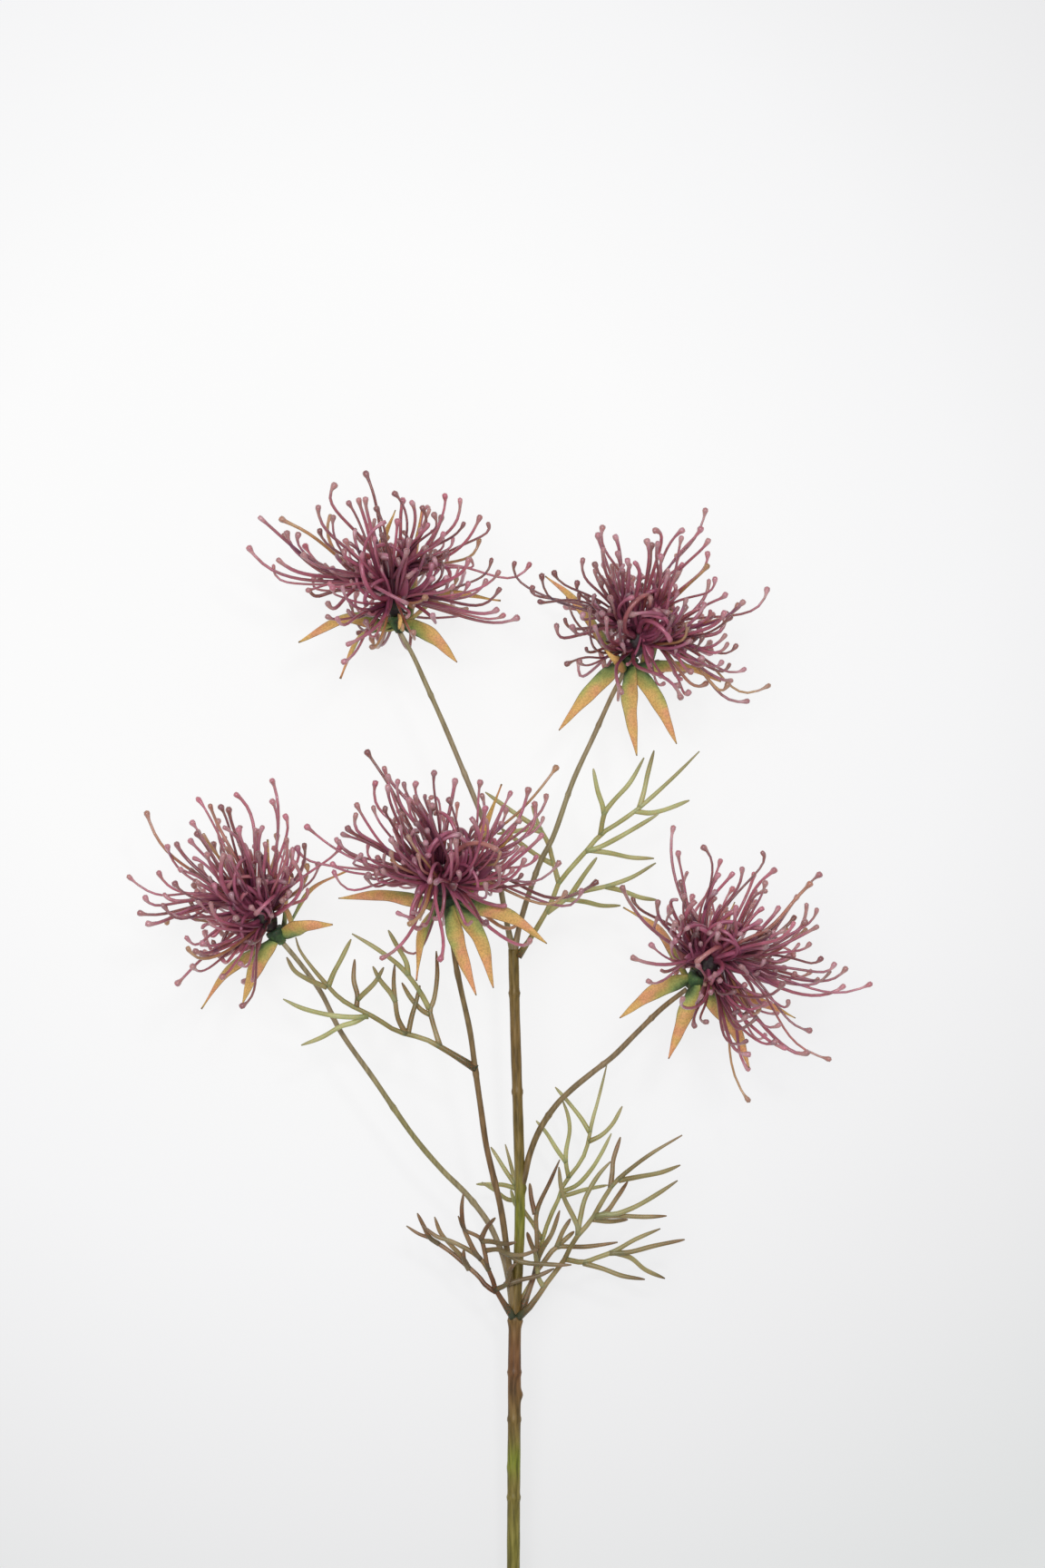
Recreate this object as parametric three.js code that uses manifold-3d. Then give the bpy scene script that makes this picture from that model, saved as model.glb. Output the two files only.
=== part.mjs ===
// A cut grevillea lying on a table: one branching stem, five spidery flower heads with their bracts, and
// six finely cut leaves. Millimetres, +Z up. The stem lies along Y with its cut end towards -Y, and the
// table is Z = 0. It rests on its cut end and on the lowest styles of its heads, so the stem rises a little
// from that end.
import * as THREE from "three";
import { mergeVertices } from "three/addons/utils/BufferGeometryUtils.js";
import Module from "manifold-3d";

const wasm = await Module();
wasm.setup();

// Places are given as they are seen from straight above: pixels to the right, pixels down, and height in
// mm.
const MM_PER_PIXEL = 1 / 3;
const LENS = { right: 576, down: 864, height: 2400 };
const MIDDLE = { right: 553, down: 1341 };

// The stem and its stalks. A ring marks each place where a leaf has fallen.
const STEM_RADIUS = 2.45;
const CENTRE_STEM_RADIUS = 2.05;
const CENTRE_STEM_FROM = 0.64;
const STALK_RADIUS = 1.25;
const STALK_TAPER = { root: 1.15, loss: 0.25 };
const STALK_STEPS = 8;
const RING_HEIGHT = 0.35;
const RING_LENGTH = 0.004;
const STEM_RINGS = [0.463, 0.54, 0.586, 0.638, 0.861, 0.957];
const STEM_BENDS = [0, 0.19, 0.52, 0.63, 0.65, 0.72, 0.79, 0.91, 1];

// A leaf's lobes keep their thickness and then come to a point. Its girth is the radius of a lobe.
const LOBE_TAPER = { root: 1.2, loss: 0.2, point: 0.85 };
const LOBE_STEPS = 3;
const BRANCH_STEPS_A_POINT = 0.6;

// A bract is a thin blade on a small cup under the head. One that stands up goes out round the core first.
const CUP_RADIUS = 3.4;
const CUP_FOOT_RADIUS = 1.5;
const CUP_LENGTH = 6;
const CUP_BELOW_CORE = 9;
const BRACT_WIDTH = 6.6;
const BRACT_THICKNESS = 1.2;
const BRACT_KEEL = 0.2;
const BRACT_ROOT = 2;
const BRACT_SHOULDER = { least: 2.5, upright: 6.5 };
const BRACT_WIDEST = 0.45;
const BRACT_STATIONS = [0, 0.22, 0.45, 0.74, 1];

// A style is a thread with a knob at its tip. Its root is sunk in the head's core.
const CORE_RADIUS = 7.5;
const CORE_STRETCH = 1.15;
const STYLE_RADIUS = 0.8;
const STYLE_ROOT = 4.6;
const STYLE_REACH = 46;
const STYLE_CURL = { least: 0.15, spread: 0.3, atTip: 2.2 };
const STYLE_HANDLES = { root: 0.38, tip: 0.34 };
const KNOB_RADIUS = 1.7;
const KNOB_LENGTH = 4;
const KNOB_REST_HEIGHT = 0.5;

// All of a head's outermost styles are kept, and one in so many of the others.
const OUTER_STYLES = 12;
const FURTHER_STYLES_EVERY = 5;
const UNDER_STYLES_EVERY = 4;
const UNDER_STYLES_FROM = 5;
const UNDER_SEED = 50;
const TABLE_STYLES_EVERY = 8;
const TABLE_STYLES_FROM = 17;
const FRONT_STYLES = 5;
const FRONT_SEED = 80;

// Separate pieces keep this gap. A style that meets a neighbour tries these changes of its tip's height.
const GAP = 0.35;
const STYLE_SHIFTS = [0, 4, -4, 8, -8, 12, 18];

// The main stem, from its cut end to its upper fork, and the five flower stalks.
const MAIN_STEM = [
  [566, 2165, 2.2], [566, 1900, 9.1], [566, 1728, 13.6], [567, 1560, 17.9], [568, 1450, 20.7],
  [571, 1400, 22], [573, 1350, 23.2], [573, 1300, 24.5], [571, 1225, 26.4], [568, 1130, 28.9],
  [566, 1046, 31],
];
const STALKS = [
  [
    [566, 1052, 30.9], [558, 1013, 32], [553, 985, 33], [549, 960, 33.6], [540, 925, 34.2], [528, 892, 34.8],
    [515, 860, 35.2], [490, 800, 36], [470, 755, 37], [455, 722, 38], [441, 697, 38.6],
  ],
  [
    [566, 1054, 30.9], [573, 1019, 32], [585, 979, 33], [596, 949, 33.6], [609, 924, 34.2], [632, 860, 35.4],
    [655, 810, 36.4], [674, 768, 37.4], [688, 741, 38],
  ],
  [
    [566, 1446, 20.6], [557, 1393, 21.5], [547, 1365, 22.3], [538, 1347, 22.8], [515, 1317, 24],
    [488, 1290, 25.2], [458, 1255, 26.7], [412, 1189, 29.5], [375, 1136, 31.5], [354, 1094, 33],
    [331, 1062, 34], [311, 1038, 34.6],
  ],
  [
    [567, 1446, 20.8], [559, 1379, 25], [552, 1331, 28], [544, 1297, 30], [536, 1262, 32], [530, 1221, 35],
    [524, 1179, 38], [518, 1136, 41], [508, 1090, 45], [502, 1060, 47], [496, 1012, 50.5],
  ],
  [
    [573, 1312, 24.2], [578, 1296, 25], [584, 1272, 26], [595, 1245, 27.4], [613, 1218, 29],
    [631, 1200, 30.4], [653, 1182, 32], [676, 1164, 33.6], [703, 1137, 35.6], [730, 1111, 37.2],
    [757, 1090, 38.6],
  ],
];

// Each leaf's first strand is its midrib, which ends in a lobe. The others are the side branches and lobes:
// the strand that each grows from, how far its tip rises above its root, and its route in pixels.
const LEAVES = {
  leaf_upper: { girth: 1.15, height: 31, strands: [
    [null, 12, [576, 1047], [591, 1024], [601, 1007], [610, 989], [616, 973], [630, 956], [646, 938],
      [663, 919], [683, 906], [705, 890], [744, 855], [771, 828]],
    [0, -3, [705, 890], [710, 872], [714, 853], [721, 827]],
    [0, -6, [700, 894], [716, 896], [731, 893], [760, 882]],
    [0, 5, [662, 920], [664, 906], [667, 895], [676, 883], [694, 863], [710, 835]],
    [3, 2, [666, 898], [664, 887], [659, 872], [654, 847]],
    [0, 6, [646, 938], [660, 934], [680, 924], [706, 909], [726, 897]],
    [0, -4, [648, 937], [672, 940], [696, 945], [721, 946]],
    [0, -9, [616, 973], [609, 947], [604, 929], [595, 912], [586, 888]],
    [7, -3, [597, 915], [578, 903], [560, 891], [535, 873]],
    [7, -2, [598, 917], [585, 914], [569, 916], [548, 919]],
    [7, -4, [609, 952], [594, 944], [568, 925], [551, 912]],
    [0, 8, [603, 1006], [614, 998], [634, 985], [671, 976], [696, 967], [723, 951]],
    [11, -5, [668, 977], [687, 982], [706, 989], [725, 992]],
    [11, -4, [623, 991], [646, 994], [663, 998], [684, 998]],
    [11, 5, [628, 988], [636, 976], [644, 964], [658, 945]],
  ] },
  leaf_middle: { girth: 1.2, height: 38, strands: [
    [null, 7, [525, 1178], [506, 1166], [486, 1154], [466, 1144], [449, 1140], [433, 1134], [416, 1123],
      [399, 1114], [383, 1106], [370, 1096], [361, 1086], [343, 1065], [330, 1046], [326, 1033]],
    [0, -5, [362, 1087], [368, 1072], [375, 1059], [387, 1035]],
    [0, 6, [360, 1088], [341, 1080], [325, 1070], [316, 1055]],
    [0, -2, [393, 1110], [394, 1097], [390, 1080], [391, 1057]],
    [3, 4, [394, 1102], [400, 1096], [413, 1083], [423, 1066]],
    [0, 4, [406, 1120], [390, 1121], [366, 1119], [333, 1111], [312, 1101]],
    [0, -3, [404, 1119], [392, 1126], [376, 1131], [355, 1143], [332, 1152]],
    [0, 3, [448, 1140], [439, 1123], [436, 1106], [434, 1083], [435, 1063]],
    [7, 4, [436, 1104], [431, 1095], [419, 1080], [411, 1065]],
    [0, -4, [450, 1139], [454, 1120], [459, 1103], [463, 1086]],
    [0, -5, [485, 1153], [476, 1123], [474, 1113], [478, 1103], [482, 1075], [481, 1048]],
    [10, 4, [473, 1112], [466, 1098], [454, 1080], [441, 1065], [416, 1046], [388, 1029]],
    [11, 2, [450, 1075], [448, 1061], [438, 1043], [428, 1025]],
    [10, -4, [474, 1118], [466, 1114], [453, 1100], [443, 1083]],
  ] },
  leaf_right: { girth: 0.95, height: 22, strands: [
    [null, 14, [571, 1452], [588, 1436], [599, 1419], [612, 1402], [623, 1387], [630, 1372], [639, 1359],
      [651, 1346], [658, 1334], [668, 1317], [677, 1304], [699, 1285], [720, 1270], [752, 1251]],
    [0, -2, [673, 1309], [675, 1292], [676, 1279], [684, 1253]],
    [0, -5, [682, 1301], [703, 1297], [729, 1292], [750, 1284]],
    [0, 4, [637, 1361], [637, 1353], [633, 1343], [620, 1315], [616, 1286]],
    [0, -1, [637, 1358], [640, 1341], [645, 1321], [659, 1296], [673, 1280]],
    [0, 5, [656, 1340], [668, 1338], [678, 1338], [700, 1330], [726, 1315], [747, 1301]],
    [0, -2, [656, 1342], [672, 1340], [686, 1340], [711, 1341], [735, 1340]],
    [0, -6, [656, 1341], [668, 1336], [680, 1320], [692, 1302]],
    [0, -8, [654, 1344], [672, 1346], [692, 1344]],
    [0, -4, [624, 1388], [643, 1391], [658, 1386], [677, 1379], [700, 1366], [728, 1354]],
    [9, 0, [672, 1381], [693, 1380], [721, 1373], [755, 1366]],
    [9, -5, [675, 1380], [695, 1386], [711, 1399], [733, 1409]],
    [9, 3, [643, 1392], [664, 1398], [686, 1406], [711, 1410]],
    [0, 5, [599, 1418], [594, 1409], [592, 1394], [589, 1375]],
  ] },
  leaf_inner: { girth: 0.9, height: 20, strands: [
    [null, 5, [574, 1448], [585, 1417], [590, 1401], [592, 1384], [592, 1363], [591, 1340], [594, 1328],
      [606, 1303], [617, 1278]],
    [0, -3, [590, 1338], [586, 1322], [584, 1304]],
    [0, 8, [592, 1389], [598, 1376], [608, 1360], [617, 1334]],
    [0, -2, [589, 1404], [600, 1390], [613, 1375], [630, 1374], [644, 1374], [662, 1372], [681, 1369]],
    [3, -2, [614, 1374], [624, 1365], [633, 1357]],
    [3, 2, [614, 1374], [620, 1358], [629, 1343]],
    [0, -4, [591, 1382], [586, 1372], [581, 1358]],
  ] },
  leaf_back: { girth: 0.95, height: 18.5, strands: [
    [null, -3, [567, 1449], [576, 1430], [584, 1416], [592, 1396], [597, 1370], [606, 1342], [615, 1323],
      [621, 1306], [632, 1291], [641, 1279], [647, 1264], [653, 1235], [657, 1221], [665, 1190],
      [669, 1173]],
    [0, 2, [649, 1258], [663, 1251], [675, 1239], [686, 1219]],
    [0, -3, [650, 1248], [641, 1233], [626, 1214], [612, 1198]],
    [0, 1, [627, 1298], [624, 1283], [624, 1269], [628, 1245], [626, 1229], [620, 1212]],
    [3, 2, [624, 1281], [614, 1267], [602, 1248], [591, 1235]],
    [0, 4, [618, 1314], [636, 1306], [651, 1290], [663, 1271], [674, 1249]],
    [0, -3, [617, 1318], [625, 1317], [645, 1311], [670, 1306]],
    [0, -2, [597, 1366], [588, 1349], [580, 1338], [572, 1325], [569, 1312], [567, 1300], [563, 1283],
      [557, 1261]],
    [7, -2, [568, 1306], [556, 1288], [548, 1275], [541, 1264]],
    [7, -3, [569, 1310], [556, 1306], [541, 1305], [525, 1305]],
    [7, 2, [571, 1322], [560, 1322], [546, 1312], [531, 1303]],
    [7, 3, [577, 1334], [569, 1328], [563, 1311]],
  ] },
  leaf_left: { girth: 0.9, height: 22, strands: [
    [null, 8, [566, 1452], [558, 1440], [551, 1429], [546, 1420], [543, 1410], [538, 1398], [534, 1378],
      [530, 1365], [524, 1361], [512, 1355], [505, 1340]],
    [0, 6, [530, 1366], [537, 1352], [546, 1342]],
    [0, 6, [531, 1368], [540, 1368], [558, 1371], [569, 1369]],
    [0, 10, [536, 1378], [549, 1377], [560, 1382], [576, 1383], [593, 1377]],
    [3, 3, [558, 1381], [571, 1389], [582, 1392], [600, 1393], [618, 1394], [630, 1394]],
    [0, 2, [539, 1400], [532, 1390], [522, 1381], [510, 1374], [495, 1367], [482, 1363], [465, 1350]],
    [5, 6, [530, 1388], [525, 1382], [517, 1367], [511, 1352], [509, 1332], [511, 1314]],
    [0, -2, [547, 1424], [536, 1417], [528, 1407], [517, 1397], [497, 1380], [484, 1371], [473, 1364],
      [462, 1360], [448, 1351]],
    [7, 2, [484, 1371], [474, 1364], [468, 1353], [460, 1337]],
    [7, 3, [516, 1396], [510, 1386], [497, 1372], [486, 1359], [479, 1341]],
    [7, 3, [517, 1399], [512, 1390], [511, 1377]],
    [0, 9, [547, 1421], [558, 1415], [563, 1398], [569, 1392]],
    [11, 2, [556, 1416], [576, 1410], [593, 1406], [611, 1398]],
  ] },
};

// Each head stands on its stalk and spreads from its core. A bract is the point that it passes, its tip,
// the tip's height above the cup, and how far its face turns up to the lens. A style is the place of its
// tip.
const HEADS = [
  {
    core: [433, 656, 41],
    bracts: [
      [[385, 681], [329, 708], 0, 0.7], [[474, 691], [504, 730], 7, 1], [[492, 657], [552, 662], -6, 0.3],
      [[397, 694], [375, 748], -4, 0.4], [[441, 683], [440, 694], 22, 0.5],
      [[458, 612], [465, 561], -9, 0.4], [[420, 610], [436, 562], -14, 0.6],
    ],
    styles: [
      [273, 601], [285, 569], [305, 615], [308, 570], [330, 586], [333, 609], [351, 556], [352, 582],
      [371, 532], [368, 567], [383, 552], [395, 548], [402, 519], [403, 547], [433, 542], [444, 549],
      [453, 552], [464, 557], [477, 564], [490, 544], [507, 548], [530, 567], [537, 575], [512, 575],
      [489, 586], [493, 606], [517, 614], [551, 628], [585, 619], [517, 640], [552, 647], [550, 670],
      [573, 679], [476, 675], [455, 694], [408, 712], [381, 711], [377, 730], [360, 662], [359, 678],
      [371, 679], [366, 645], [380, 593], [465, 581], [449, 604], [316, 584],
    ],
  },
  {
    core: [704, 702, 41],
    bracts: [
      [[652, 761], [616, 805], 4, 0.9], [[694, 775], [702, 833], 8, 1], [[723, 769], [746, 820], 5, 1],
      [[758, 737], [795, 751], -7, 0.5], [[640, 664], [609, 641], -9, 0.5],
      [[728, 660], [740, 636], 13, 0.6], [[678, 722], [668, 716], 20, 0.5],
    ],
    styles: [
      [568, 618], [597, 631], [610, 628], [593, 662], [637, 639], [643, 614], [630, 688], [659, 587],
      [665, 578], [677, 589], [655, 619], [666, 603], [680, 607], [691, 615], [699, 619], [712, 593],
      [719, 585], [719, 597], [726, 596], [728, 610], [755, 583], [752, 590], [778, 559], [782, 593],
      [780, 607], [781, 621], [750, 630], [788, 635], [846, 646], [821, 661], [815, 664], [801, 653],
      [807, 678], [799, 673], [801, 698], [803, 707], [813, 709], [797, 727], [823, 736], [850, 754],
      [827, 772], [804, 751], [761, 761], [751, 771], [750, 755], [765, 741], [686, 765], [622, 733],
      [638, 727], [685, 708], [644, 674],
    ],
  },
  {
    core: [288, 1006, 38],
    bracts: [
      [[334, 1022], [367, 1019], 10, 1], [[283, 1063], [267, 1107], 4, 0.8],
      [[250, 1070], [222, 1112], -6, 0.6], [[345, 980], [384, 959], -5, 0.3],
      [[318, 972], [323, 944], -16, 0.6], [[300, 962], [295, 925], 12, 0.6],
    ],
    styles: [
      [161, 893], [217, 880], [231, 886], [242, 887], [252, 890], [258, 874], [299, 858], [299, 881],
      [313, 897], [210, 904], [215, 916], [208, 924], [194, 928], [174, 959], [140, 964], [159, 986],
      [151, 1005], [160, 1017], [191, 971], [180, 995], [198, 957], [221, 1038], [206, 1043], [213, 1047],
      [211, 1063], [193, 1086], [263, 1060], [243, 1077], [264, 1110], [335, 929], [327, 931], [375, 932],
      [315, 923], [265, 928], [282, 913], [290, 910], [262, 911], [246, 911], [228, 940], [236, 972],
    ],
  },
  {
    core: [488, 966, 57],
    bracts: [
      [[433, 982], [373, 990], -4, 0.7], [[466, 1022], [459, 1081], -2, 0.4],
      [[504, 1038], [525, 1097], 7, 1], [[527, 1030], [544, 1089], 4, 1],
      [[562, 1010], [603, 1040], 3, 1], [[549, 937], [569, 912], 5, 0.6],
      [[536, 910], [553, 864], -10, 0.4],
    ],
    styles: [
      [403, 826], [423, 844], [427, 853], [439, 858], [445, 861], [428, 864], [459, 861], [458, 875],
      [451, 878], [479, 849], [478, 886], [502, 858], [494, 879], [530, 859], [535, 888], [564, 871],
      [583, 867], [602, 874], [615, 843], [574, 904], [599, 918], [579, 933], [579, 945], [618, 948],
      [660, 970], [625, 981], [589, 971], [566, 957], [536, 1015], [585, 1034], [484, 1059], [418, 1057],
      [436, 1005], [450, 1011], [450, 1019], [392, 884], [411, 887], [393, 895], [336, 909], [382, 910],
      [400, 940], [365, 950], [327, 931], [367, 958], [426, 888], [404, 961], [376, 918],
    ],
  },
  {
    core: [785, 1057, 42],
    bracts: [
      [[723, 1092], [683, 1122], 5, 0.9], [[754, 1121], [737, 1167], 6, 0.9],
      [[810, 1134], [826, 1177], 5, 1], [[727, 1024], [687, 1000], -7, 0.4],
      [[846, 1108], [877, 1122], -6, 0.6], [[800, 1018], [810, 994], -15, 0.6],
    ],
    styles: [
      [743, 909], [748, 937], [773, 932], [795, 946], [839, 938], [856, 957], [818, 955], [809, 961],
      [794, 962], [844, 970], [846, 982], [906, 962], [895, 972], [901, 1000], [889, 1014], [903, 1020],
      [876, 1015], [894, 1038], [907, 1054], [921, 1060], [934, 1065], [962, 1083], [932, 1085],
      [869, 1101], [896, 1136], [917, 1168], [868, 1156], [857, 1146], [828, 1162], [825, 1146],
      [827, 1215], [824, 1118], [861, 1128], [781, 1126], [767, 1133], [754, 1099], [713, 1080],
      [695, 1054], [716, 1039], [685, 975], [726, 991], [742, 1001], [746, 1014], [755, 985], [760, 1008],
      [752, 1009], [791, 981], [812, 997], [864, 1081],
    ],
  },
];

const UP = new THREE.Vector3(0, 0, 1);

// The point seen at a pixel, at a height above the table.
function place(right, down, height) {
  const scale = (MM_PER_PIXEL * (LENS.height - height)) / LENS.height;
  return new THREE.Vector3(
    (right - LENS.right) * scale + (LENS.right - MIDDLE.right) * MM_PER_PIXEL,
    (LENS.down - down) * scale + (MIDDLE.down - LENS.down) * MM_PER_PIXEL,
    height,
  );
}

// A number from 0 to 1 that looks random and is the same each time for the same two numbers.
function chance(index, kind) {
  const wave = Math.sin(index * 12.9898 + kind * 78.233) * 43758.5453;
  return wave - Math.floor(wave);
}

function solidOf(geometry) {
  geometry.deleteAttribute("normal");
  geometry.deleteAttribute("uv");
  const merged = mergeVertices(geometry, 1e-4);
  return new wasm.Manifold(
    new wasm.Mesh({
      numProp: 3,
      vertProperties: merged.attributes.position.array,
      triVerts: new Uint32Array(merged.index.array),
    }),
  );
}

// A closed rod along a curve, with a ring of corners at each station, a share of the curve's length.
// section gives a corner's distances along the ring's normal and across it. face, if given, is the side
// that the normals point to.
function rod(curve, sides, stations, section, face) {
  const FINE = 80;
  const geometry = new THREE.CylinderGeometry(1, 1, 1, sides, stations.length - 1);
  const frames = curve.computeFrenetFrames(FINE);
  const corners = geometry.attributes.position;
  for (let i = 0; i < corners.count; i++) {
    const station = stations[Math.round((corners.getY(i) + 0.5) * (stations.length - 1))];
    const near = Math.round(station * FINE);
    const tangent = frames.tangents[near];
    const normal = (face ?? frames.normals[near]).clone();
    normal.addScaledVector(tangent, -normal.dot(tangent)).normalize();
    const across = new THREE.Vector3().crossVectors(tangent, normal);
    const x = corners.getX(i);
    const z = corners.getZ(i);
    const onAxis = Math.hypot(x, z) < 0.5;
    const [out, aside] = onAxis ? [0, 0] : section(station, Math.atan2(x, z));
    const corner = curve.getPointAt(station).addScaledVector(normal, out).addScaledVector(across, aside);
    corners.setXYZ(i, corner.x, corner.y, corner.z);
  }
  return solidOf(geometry);
}

const roundSection = (radiusAt) => (station, angle) => [
  radiusAt(station) * Math.cos(angle),
  radiusAt(station) * Math.sin(angle),
];

const evenStations = (steps) => Array.from({ length: steps + 1 }, (_, i) => i / steps);
const smoothCurve = (points) => new THREE.CatmullRomCurve3(points, false, "centripetal");
const fuse = (solids) => solids.reduce((all, one) => all.add(one));

// The largest body of a solid, filled: loose scraps and sealed hollows are dropped.
const mainBody = (solid) => solid.decompose().reduce((a, b) => (b.volume() > a.volume() ? b : a));

// What reaches below the table is cut off flat.
const TABLE = solidOf(new THREE.BoxGeometry(900, 900, 50).translate(0, 0, -25));
const restOnTable = (solid) => mainBody(solid.subtract(TABLE));

// The stem: a thicker lower part, a thinner centre stem, the stalks, and rings at the old leaf joints.
function stem(extra) {
  const main = smoothCurve(MAIN_STEM.map((p) => place(...p)));
  const onRing = (t) => STEM_RINGS.some((ring) => Math.abs(t - ring) < 1e-6);
  const mainRadius = (t) =>
    extra + (t < CENTRE_STEM_FROM ? STEM_RADIUS : CENTRE_STEM_RADIUS) + (onRing(t) ? RING_HEIGHT : 0);
  const aroundRings = STEM_RINGS.flatMap((t) => [t - RING_LENGTH, t, t + RING_LENGTH]);
  const stations = [...STEM_BENDS, ...aroundRings].sort((a, b) => a - b);
  const pieces = [rod(main, 8, stations, roundSection(mainRadius))];
  for (const stalk of STALKS) {
    const curve = smoothCurve(stalk.map((p) => place(...p)));
    const radius = (t) => extra + STALK_RADIUS * (STALK_TAPER.root - STALK_TAPER.loss * t);
    pieces.push(rod(curve, 6, evenStations(STALK_STEPS), roundSection(radius)));
  }
  return fuse(pieces);
}

// The points of a leaf's strand: its height runs evenly from its root, on its parent, to its tip.
function strandPoints(strands, [parent, rise, ...route], baseHeight) {
  const far = (p, q) => Math.hypot(p[0] - q[0], p[1] - q[1]);
  let height = baseHeight;
  if (parent !== null) {
    const carrier = smoothCurve(strandPoints(strands, strands[parent], baseHeight)).getSpacedPoints(60);
    const root = place(...route[0], baseHeight);
    height = carrier.reduce((best, p) => (p.distanceTo(root) < best.distanceTo(root) ? p : best)).z;
  }
  const lengths = route.map((p, i) => (i ? far(p, route[i - 1]) : 0));
  const total = lengths.reduce((a, b) => a + b);
  let run = 0;
  return route.map((p, i) => place(...p, height + (rise * (run += lengths[i])) / total));
}

// A leaf: slender strands, each thick along most of its length and then thinning to a point.
function leaf({ girth, height, strands }, extra) {
  const carriers = new Set(strands.map(([parent]) => parent));
  const radius = (t) => extra + girth * (LOBE_TAPER.root - LOBE_TAPER.loss * t - LOBE_TAPER.point * t ** 4);
  const pieces = strands.map((strand, i) => {
    const points = strandPoints(strands, strand, height);
    const steps = carriers.has(i) ? Math.ceil(points.length * BRANCH_STEPS_A_POINT) : LOBE_STEPS;
    return rod(smoothCurve(points), 3, evenStations(steps), roundSection(radius));
  });
  return fuse(pieces);
}

// A head's own places: the end of its stalk, its axis, its cup and its core.
function headPlaces(index) {
  const core = place(...HEADS[index].core);
  const axis = core.clone().sub(place(...STALKS[index].at(-1))).normalize();
  const cup = core.clone().addScaledVector(axis, -CUP_BELOW_CORE);
  return { core, axis, cup };
}

// A bract widens to its widest place, and then narrows to a point.
function bractHalfWidth(t) {
  const opening = 1 - 0.5 * Math.max(0, 1 - t / BRACT_WIDEST) ** 2;
  const closing = 1 - Math.max(0, (t - BRACT_WIDEST) / (1 - BRACT_WIDEST)) ** 1.6;
  return (BRACT_WIDTH / 2) * opening * closing + 0.2;
}

// The whorl of bracts: thin keeled blades that widen and then narrow to a point, on a small cup at the
// stalk's end.
function bracts(index, extra) {
  const { axis, cup } = headPlaces(index);
  const cupCurve = smoothCurve([cup.clone().addScaledVector(axis, -CUP_LENGTH), cup]);
  const cupRadius = (t) => extra + CUP_FOOT_RADIUS + (CUP_RADIUS - CUP_FOOT_RADIUS) * t;
  const pieces = [rod(cupCurve, 8, evenStations(2), roundSection(cupRadius))];
  for (const [via, tip, lift, turn] of HEADS[index].bracts) {
    const end = place(...tip, cup.z + lift);
    const middle = place(...via, cup.z + lift);
    const out = middle.clone().sub(cup);
    const upright = Math.max(0, out.dot(axis) / out.length());
    out.addScaledVector(axis, -out.dot(axis)).normalize();
    const root = cup.clone().addScaledVector(axis, -BRACT_ROOT);
    const outward = BRACT_SHOULDER.least + BRACT_SHOULDER.upright * upright;
    const shoulder = root.clone().addScaledVector(out, outward);
    const side = new THREE.Vector3().crossVectors(end.clone().sub(root), UP).normalize();
    const face = UP.clone().multiplyScalar(turn).addScaledVector(side, 1 - turn);
    const section = (t, angle) => {
      const aside = (extra + bractHalfWidth(t)) * Math.sin(angle);
      return [(extra + BRACT_THICKNESS / 2) * Math.cos(angle) - BRACT_KEEL * Math.abs(aside), aside];
    };
    const curve = smoothCurve([root, shoulder, middle, end]);
    pieces.push(rod(curve, 6, BRACT_STATIONS, section, face));
  }
  return fuse(pieces);
}

// Where the tips of a head's styles are. The ones in sight spread over the half of a ball that faces up,
// and each second set lies under them, turned and shortened a little by chance, down to the table.
function styleTips(index) {
  const { core } = headPlaces(index);
  const tips = HEADS[index].styles.map(([right, down], i) => {
    const seed = i + 100 * index;
    const flat = place(right, down, core.z).sub(core);
    const reach = flat.length();
    const depth = Math.sqrt(Math.max(0, STYLE_REACH ** 2 - reach ** 2));
    const rise = depth * (0.35 + 0.6 * chance(seed, 1)) + 6 - 12 * chance(seed, 2);
    const fall = depth * (0.6 + 0.75 * chance(seed, 5));
    const turn = 0.25 - 0.5 * chance(seed, 3);
    const shrink = 0.8 + 0.25 * chance(seed, 4);
    const under = flat.clone().applyAxisAngle(UP, turn).multiplyScalar(shrink).add(core);
    under.z = Math.max(KNOB_REST_HEIGHT, core.z - fall);
    return { seed, reach, over: place(right, down, core.z + rise), under };
  });
  return tips.sort((a, b) => b.reach - a.reach);
}

// The tips of the styles that stand up from the table over the core, spread by chance.
function frontTips(index) {
  const { core, axis } = headPlaces(index);
  const side = new THREE.Vector3().crossVectors(axis, UP).normalize();
  return Array.from({ length: FRONT_STYLES }, (_, i) => {
    const seed = i + 100 * index + FRONT_SEED;
    const out = UP.clone();
    out.addScaledVector(axis, 1.4 * chance(seed, 1) - 0.3);
    out.addScaledVector(side, 1.8 * chance(seed, 2) - 0.9);
    out.setLength(STYLE_REACH * (0.6 + 0.3 * chance(seed, 3)));
    return { seed, tip: core.clone().add(out) };
  });
}

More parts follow.
